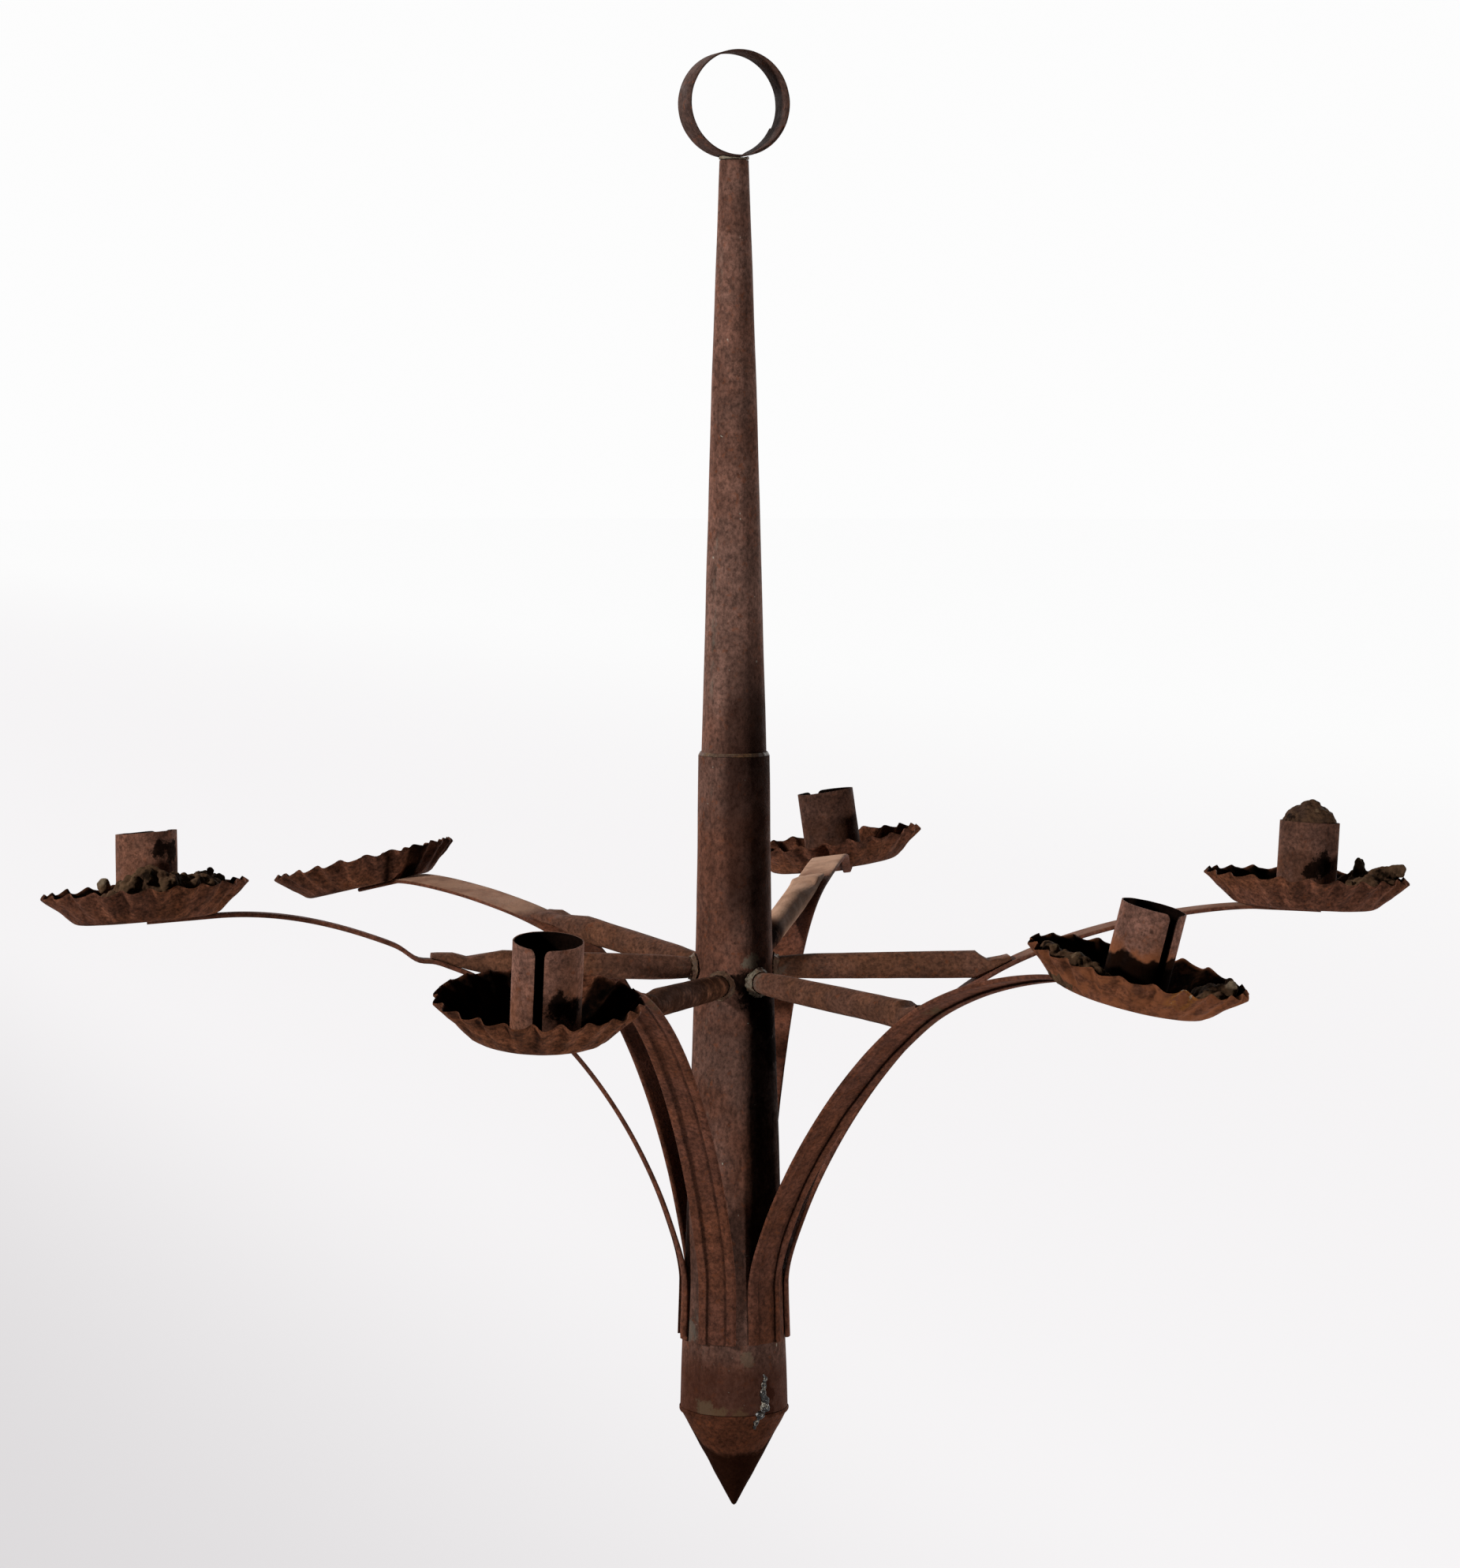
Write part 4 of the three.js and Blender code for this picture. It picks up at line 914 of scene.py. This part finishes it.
def socket_soot_and_shade(n, colour, rough):
    """Sockets are black inside and darker low on the outside, with painted shadows on the outside."""
    smoke = n.ramp(n.noise(55, 3, 0.6, (3, 1, 4)), 0.52, 0.68)
    low = n.ramp(n.mark("rise"), 0.1, 0.6, 1.0, 0.0)
    outside = n.maths("MULTIPLY", n.maths("MULTIPLY", smoke, low), 0.45)
    outside = n.maths("MAXIMUM", outside, n.mark("painted_shade"))
    # Painted shadows low on the right of the left, right and front left sockets
    for place, radius in [
        ((-215.5, -30, -306), 6.0), ((-219.5, -34.5, -305.5), 4.5), ((233, 11, -316), 6.5), ((228, 10, -319), 4.5),
        ((-58, -232, -339.5), 6.5), ((-53, -228, -342), 6.0),
    ]:
        outside = n.maths("MAXIMUM", outside, n.maths("MULTIPLY", n.near(place, radius), 0.94))
    fresh = n.maths("MULTIPLY", n.ramp(n.mark("rise"), 0.45, 0.75, 0.85, 0.0), n.ramp(n.noise(120, 3), 0.36, 0.56))
    colour = n.mix(n.maths("MULTIPLY", fresh, n.mark("fresh")), colour, rgb(146, 86, 52))
    # Painted shadow round the foot of the front right socket
    foot = n.maths("ADD", n.mark("rise"), n.ramp(n.noise(90, 3, 0.6, (5, 1, 2)), 0.3, 0.7, -0.06, 0.06))
    foot = n.maths("MULTIPLY", n.ramp(foot, 0.47, 0.52, 0.96, 0.0), n.ramp(n.mark("fresh"), 0.5, 0.9))
    outside = n.maths("MAXIMUM", outside, foot)
    return n.mix(n.maths("MAXIMUM", n.maths("MULTIPLY", n.mark("inner"), 0.97), outside), colour, SOOT_AND_SHADE), rough


def root_solder_and_shade(n, colour, rough):
    """Grey bloom where a brace is soldered to the shaft; tan wear with painted light and a band of painted shade on
    the back right brace, and painted shade over the front left brace.
    """
    ragged = n.ramp(n.noise(190, 4, 0.7), 0.46, 0.66)
    colour = n.mix(n.maths("MULTIPLY", n.maths("MULTIPLY", n.mark("pale"), ragged), 0.5), colour, GREY)
    worn = n.ramp(n.noise(75, 4, 0.7, (4, 3, 2)), 0.36, 0.6, 0.6, 1.0)
    colour = n.mix(n.maths("MULTIPLY", n.mark("tan"), worn), colour, TAN_WEAR_AND_LIGHT)
    # Painted shade on the braces
    blotch = n.ramp(n.noise(110, 4, 0.7, (1, 5, 2)), 0.3, 0.5)
    return n.mix(n.maths("MULTIPLY", n.mark("painted_shade"), blotch), colour, rgb(36, 19, 12)), rough


def cone_darkening(n, colour, rough):
    """Darker over the point of the cone, with a lobe hanging from the lip at the front."""
    x, y = n.axis(0), n.axis(1)
    radius = n.maths("SQRT", n.maths("ADD", n.maths("MULTIPLY", x, x), n.maths("MULTIPLY", y, y)))
    away = n.maths("ADD", 1.0, n.maths("DIVIDE", y, radius))
    edge = n.maths("MULTIPLY", n.maths("MULTIPLY", away, away), 0.0176)
    edge = n.maths("ADD", edge, n.ramp(n.noise(90, 2, 0.5), 0.3, 0.7, -0.5502, -0.5472))
    depth = n.maths("SUBTRACT", edge, n.axis(2))
    # Darker below this edge, with a dark line along it
    stain = n.ramp(depth, -0.0006, 0.001)
    rim = n.maths("MULTIPLY", n.ramp(depth, -0.0016, -0.0002), n.ramp(depth, 0.0, 0.0012, 1.0, 0.0))
    colour = n.mix(n.maths("MULTIPLY", stain, 0.9), colour, rgb(30, 13, 7))
    return n.mix(n.maths("MULTIPLY", rim, 0.5), colour, SOOT_AND_SHADE), rough


def solder_skin(name, grey, seed):
    n = Nodes(name)
    shift = (seed, seed * 2, 1)
    worn = n.ramp(n.noise(260, 4, 0.7, shift), 0.4, 0.62)
    colour = n.mix(worn, grey, rgb(84, 56, 42))
    stain = n.ramp(n.noise(110, 3, 0.6, shift), 0.5, 0.66)
    colour = n.mix(n.maths("MULTIPLY", stain, 0.7), colour, rgb(104, 74, 46))
    colour = n.scale(colour, n.ramp(n.noise(700, 3, 0.7, shift), 0.3, 0.7, 0.6, 1.35))
    relief = n.noise(420, 4, 0.6, shift)
    return n.finish(colour, 0.62, relief, 0.0003, specular=0.15)


def tar_skin():
    n = Nodes("tar")
    colour = n.mix(n.ramp(n.noise(300, 3), 0.4, 0.6), rgb(10, 8, 7), rgb(30, 20, 15))
    # Painted highlights: pale glints on the black tar
    painted_glints = n.ramp(n.noise(620, 3, 0.7, (2, 5, 1)), 0.52, 0.6)
    colour = n.mix(n.maths("MULTIPLY", painted_glints, 0.8), colour, rgb(176, 168, 152))
    return n.finish(colour, 0.25, n.noise(420, 2, 0.5), 0.0003, 0.3)


def wax_skin(name, pale, seed):
    """Old wax: olive and brown dirt, black pockets and a few clean bits."""
    n = Nodes(name)
    shift = (seed, 3, seed * 2)
    dirt = n.ramp(n.noise(150, 4, 0.7, shift), 0.34, 0.58)
    colour = n.mix(dirt, pale, rgb(84, 61, 45))
    char = n.ramp(n.noise(120, 3, 0.6, shift), 0.56, 0.66)
    colour = n.mix(n.maths("MULTIPLY", char, 0.9), colour, rgb(16, 11, 8))
    clean = n.ramp(n.noise(210, 3, 0.6, (seed, 8, 1)), 0.62, 0.72)
    colour = n.mix(n.maths("MULTIPLY", clean, 0.5), colour, rgb(134, 114, 88))
    colour = n.mix(n.maths("MULTIPLY", n.mark("pale"), 0.8), colour, rgb(128, 112, 92))
    colour = n.scale(colour, n.ramp(n.noise(600, 3, 0.7, shift), 0.3, 0.7, 0.6, 1.4))
    relief = n.noise(380, 4, 0.65, shift)
    return n.finish(colour, 0.75, relief, 0.0006, specular=0.01)


def dress(piece, material):
    piece.data.materials.clear()
    piece.data.materials.append(material)
    return piece


upper_rust = rust("rust_upper", rgb(120, 88, 76), rgb(112, 77, 64), 1, shaft_dark_band, 1.0, 0.5)
lower_rust = rust("rust_lower", rgb(104, 74, 63), rgb(100, 64, 50), 2, base_grime_and_shadow, 1.0, 0.4)
cone_rust = rust("rust_cone", rgb(86, 48, 31), rgb(76, 41, 26), 3, cone_darkening)
ring_rust = rust("rust_ring", rgb(74, 54, 47), rgb(70, 48, 39), 4)
strip_rust = rust("rust_strip", rgb(107, 64, 46), rgb(103, 64, 50), 5, strip_wear_and_light)
brace_rust = rust("rust_brace", rgb(102, 69, 55), rgb(106, 69, 50), 6, root_solder_and_shade)
pan_rust = rust("rust_pan", rgb(103, 64, 48), rgb(111, 67, 45), 7, pan_soot_and_shade, 1.3)
socket_rust = rust("rust_socket", rgb(130, 92, 78), rgb(128, 86, 68), 8, socket_soot_and_shade)

dress(make_ring(1), ring_rust)
dress(make_shaft("shaft_upper", "upper_shaft", UPPER_STATIONS, 2), upper_rust)
dress(make_shaft("shaft_lower", "lower_shaft", LOWER_STATIONS, 3), lower_rust)
dress(make_cone(4), cone_rust)
bright_solder = solder_skin("solder_bright", rgb(134, 124, 106), 1)
brown_solder = solder_skin("solder_brown", rgb(98, 76, 58), 2)
dress(make_lumpy("ring_solder", "solder_ring", 0.3, 0.25, 5), bright_solder)
dress(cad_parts["collar_solder"], brown_solder)
for seed, light in enumerate(LIGHTS, 10):
    key = light["name"]
    dress(make_strip(light, seed), strip_rust)
    dress(make_brace(light, seed), brace_rust)
    dress(make_pan(light, seed), pan_rust)
    fillet = make_lumpy(f"brace_solder_{key}", f"solder_{key}", 0.35, 0.5, seed, -0.3)
    dress(fillet, bright_solder if key == "front_right" else brown_solder)
    if light["socket_diameter"]:
        dress(make_socket(light, seed), socket_rust)
dirty_wax = wax_skin("wax_dirty", rgb(108, 83, 61), 1)
tan_wax = wax_skin("wax_tan", rgb(98, 74, 54), 3)
grey_wax = wax_skin("wax_grey", rgb(76, 56, 45), 2)
by_name = {light["name"]: light for light in LIGHTS}
for seed, (node, (key, pale, course, count, spread, more)) in enumerate(WAX.items(), 30):
    lumps = crumbs(course, seed, count, spread) + more
    dress(make_wax(node, by_name[key], lumps, pale, seed), tan_wax if key == "front_right" else dirty_wax)
dress(make_tar(), tar_skin())
peaks = [((230.2, 21, -294.2), (3.2, 3.2, 3.3)), ((227.2, 20.5, -294.4), (3.4, 3.2, 3.1)),
         ((223.6, 20, -296), (3, 3, 2.8)), ((233.6, 21, -296.8), (2.4, 2.4, 2.5))]
dress(make_lumpy("candle_stub_right", "stub_right", 0.4, 0.9, 3, -0.1, peaks), grey_wax)


# Camera, floor and light

FOCAL_PIXELS = 5100.0
IMAGE_LONG_SIDE = 1988.0
camera_data = bpy.data.cameras.new("camera")
camera_data.sensor_width = 36.0
camera_data.lens = camera_data.sensor_width * FOCAL_PIXELS / IMAGE_LONG_SIDE
camera = bpy.data.objects.new("camera", camera_data)
camera.location = (-0.00155, -1.570, -0.1528)
camera.rotation_euler = (math.radians(90 - 4.7525), 0, 0)
bpy.context.scene.collection.objects.link(camera)
bpy.context.scene.camera = camera


def lamp(name, azimuth, elevation, distance, size, level, aim=-0.33, spread=180):
    """Disk light whose level is what a white surface facing it shows. Azimuth 0 is the camera's side."""
    a, e = math.radians(azimuth), math.radians(elevation)
    target = Vector((0, 0, aim))
    place = target + distance * Vector((math.sin(a) * math.cos(e), -math.cos(a) * math.cos(e), math.sin(e)))
    half = math.radians(spread / 2)
    data = bpy.data.lights.new(name, "AREA")
    data.shape = "DISK"
    data.size = size
    data.spread = 2 * half
    data.energy = level * (math.pi * distance) ** 2 * (1 - half / math.tan(half))
    light = bpy.data.objects.new(name, data)
    light.location = place
    light.rotation_euler = (target - place).to_track_quat("-Z", "Y").to_euler()
    light.visible_camera = False
    bpy.context.scene.collection.objects.link(light)


lamp("key", -60, 16, 1.9, 0.18, 1.12, -0.15, 60)
lamp("low_right", 36, -15, 1.7, 0.15, 0.42, -0.3, 70)
lamp("back_right", 150, 15, 2.3, 0.6, 0.35, -0.3, 90)
lamp("back_left", -150, 25, 2.3, 0.6, 0.3, -0.3, 90)

FLOOR_Z = -0.86
floor_mesh = bpy.data.meshes.new("floor")
spokes = 96
floor_mesh.from_pydata([(40 * math.cos(k / spokes * TAU), 40 * math.sin(k / spokes * TAU), FLOOR_Z)
                        for k in range(spokes)], [], [list(range(spokes))])
floor = bpy.data.objects.new("floor", floor_mesh)
bpy.context.scene.collection.objects.link(floor)

n = Nodes("pale_floor")
rays = n.add("ShaderNodeLightPath")
diffuse = n.add("ShaderNodeBsdfDiffuse")
diffuse.inputs["Color"].default_value = (0.5, 0.5, 0.5, 1)
glow = n.add("ShaderNodeEmission")
across = n.maths("ADD", n.maths("MULTIPLY", n.axis(0), 0.92), n.maths("MULTIPLY", n.axis(1), 0.38))
pale = n.mix(n.ramp(across, -0.2, 0.7), (0.735, 0.715, 0.725), (0.945, 0.93, 0.938))
n.link(n.mix(n.ramp(n.maths("ABSOLUTE", across), 1.5, 5), pale, (1.0, 1.0, 1.0)), glow.inputs["Color"])
blend = n.add("ShaderNodeMixShader")
seen = n.maths("MAXIMUM", rays.outputs["Is Camera Ray"], rays.outputs["Is Glossy Ray"])
seen = n.maths("MAXIMUM", seen, rays.outputs["Is Transmission Ray"])
n.link(n.maths("MULTIPLY", seen, 0.97), blend.inputs[0])
n.link(diffuse.outputs[0], blend.inputs[1])
n.link(glow.outputs[0], blend.inputs[2])
n.link(blend.outputs[0], n.out.inputs["Surface"])
floor_mesh.materials.append(n.material)

world = bpy.data.worlds.new("studio")
bpy.context.scene.world = world
world.use_nodes = True
tree = world.node_tree
tree.nodes.clear()
out = tree.nodes.new("ShaderNodeOutputWorld")
shown, lit = tree.nodes.new("ShaderNodeBackground"), tree.nodes.new("ShaderNodeBackground")
shown.inputs["Color"].default_value = (0.98, 0.98, 0.98, 1)
lit.inputs["Color"].default_value = (1, 1, 1, 1)
lit.inputs["Strength"].default_value = 0.02
path = tree.nodes.new("ShaderNodeLightPath")
choose = tree.nodes.new("ShaderNodeMixShader")
seen = path.outputs["Is Camera Ray"]
for kind in ("Is Glossy Ray", "Is Transmission Ray"):
    either = tree.nodes.new("ShaderNodeMath")
    either.operation = "MAXIMUM"
    tree.links.new(seen, either.inputs[0])
    tree.links.new(path.outputs[kind], either.inputs[1])
    seen = either.outputs[0]
tree.links.new(seen, choose.inputs[0])
tree.links.new(lit.outputs[0], choose.inputs[1])
tree.links.new(shown.outputs[0], choose.inputs[2])
tree.links.new(choose.outputs[0], out.inputs["Surface"])

bpy.context.scene.view_settings.view_transform = "Standard"
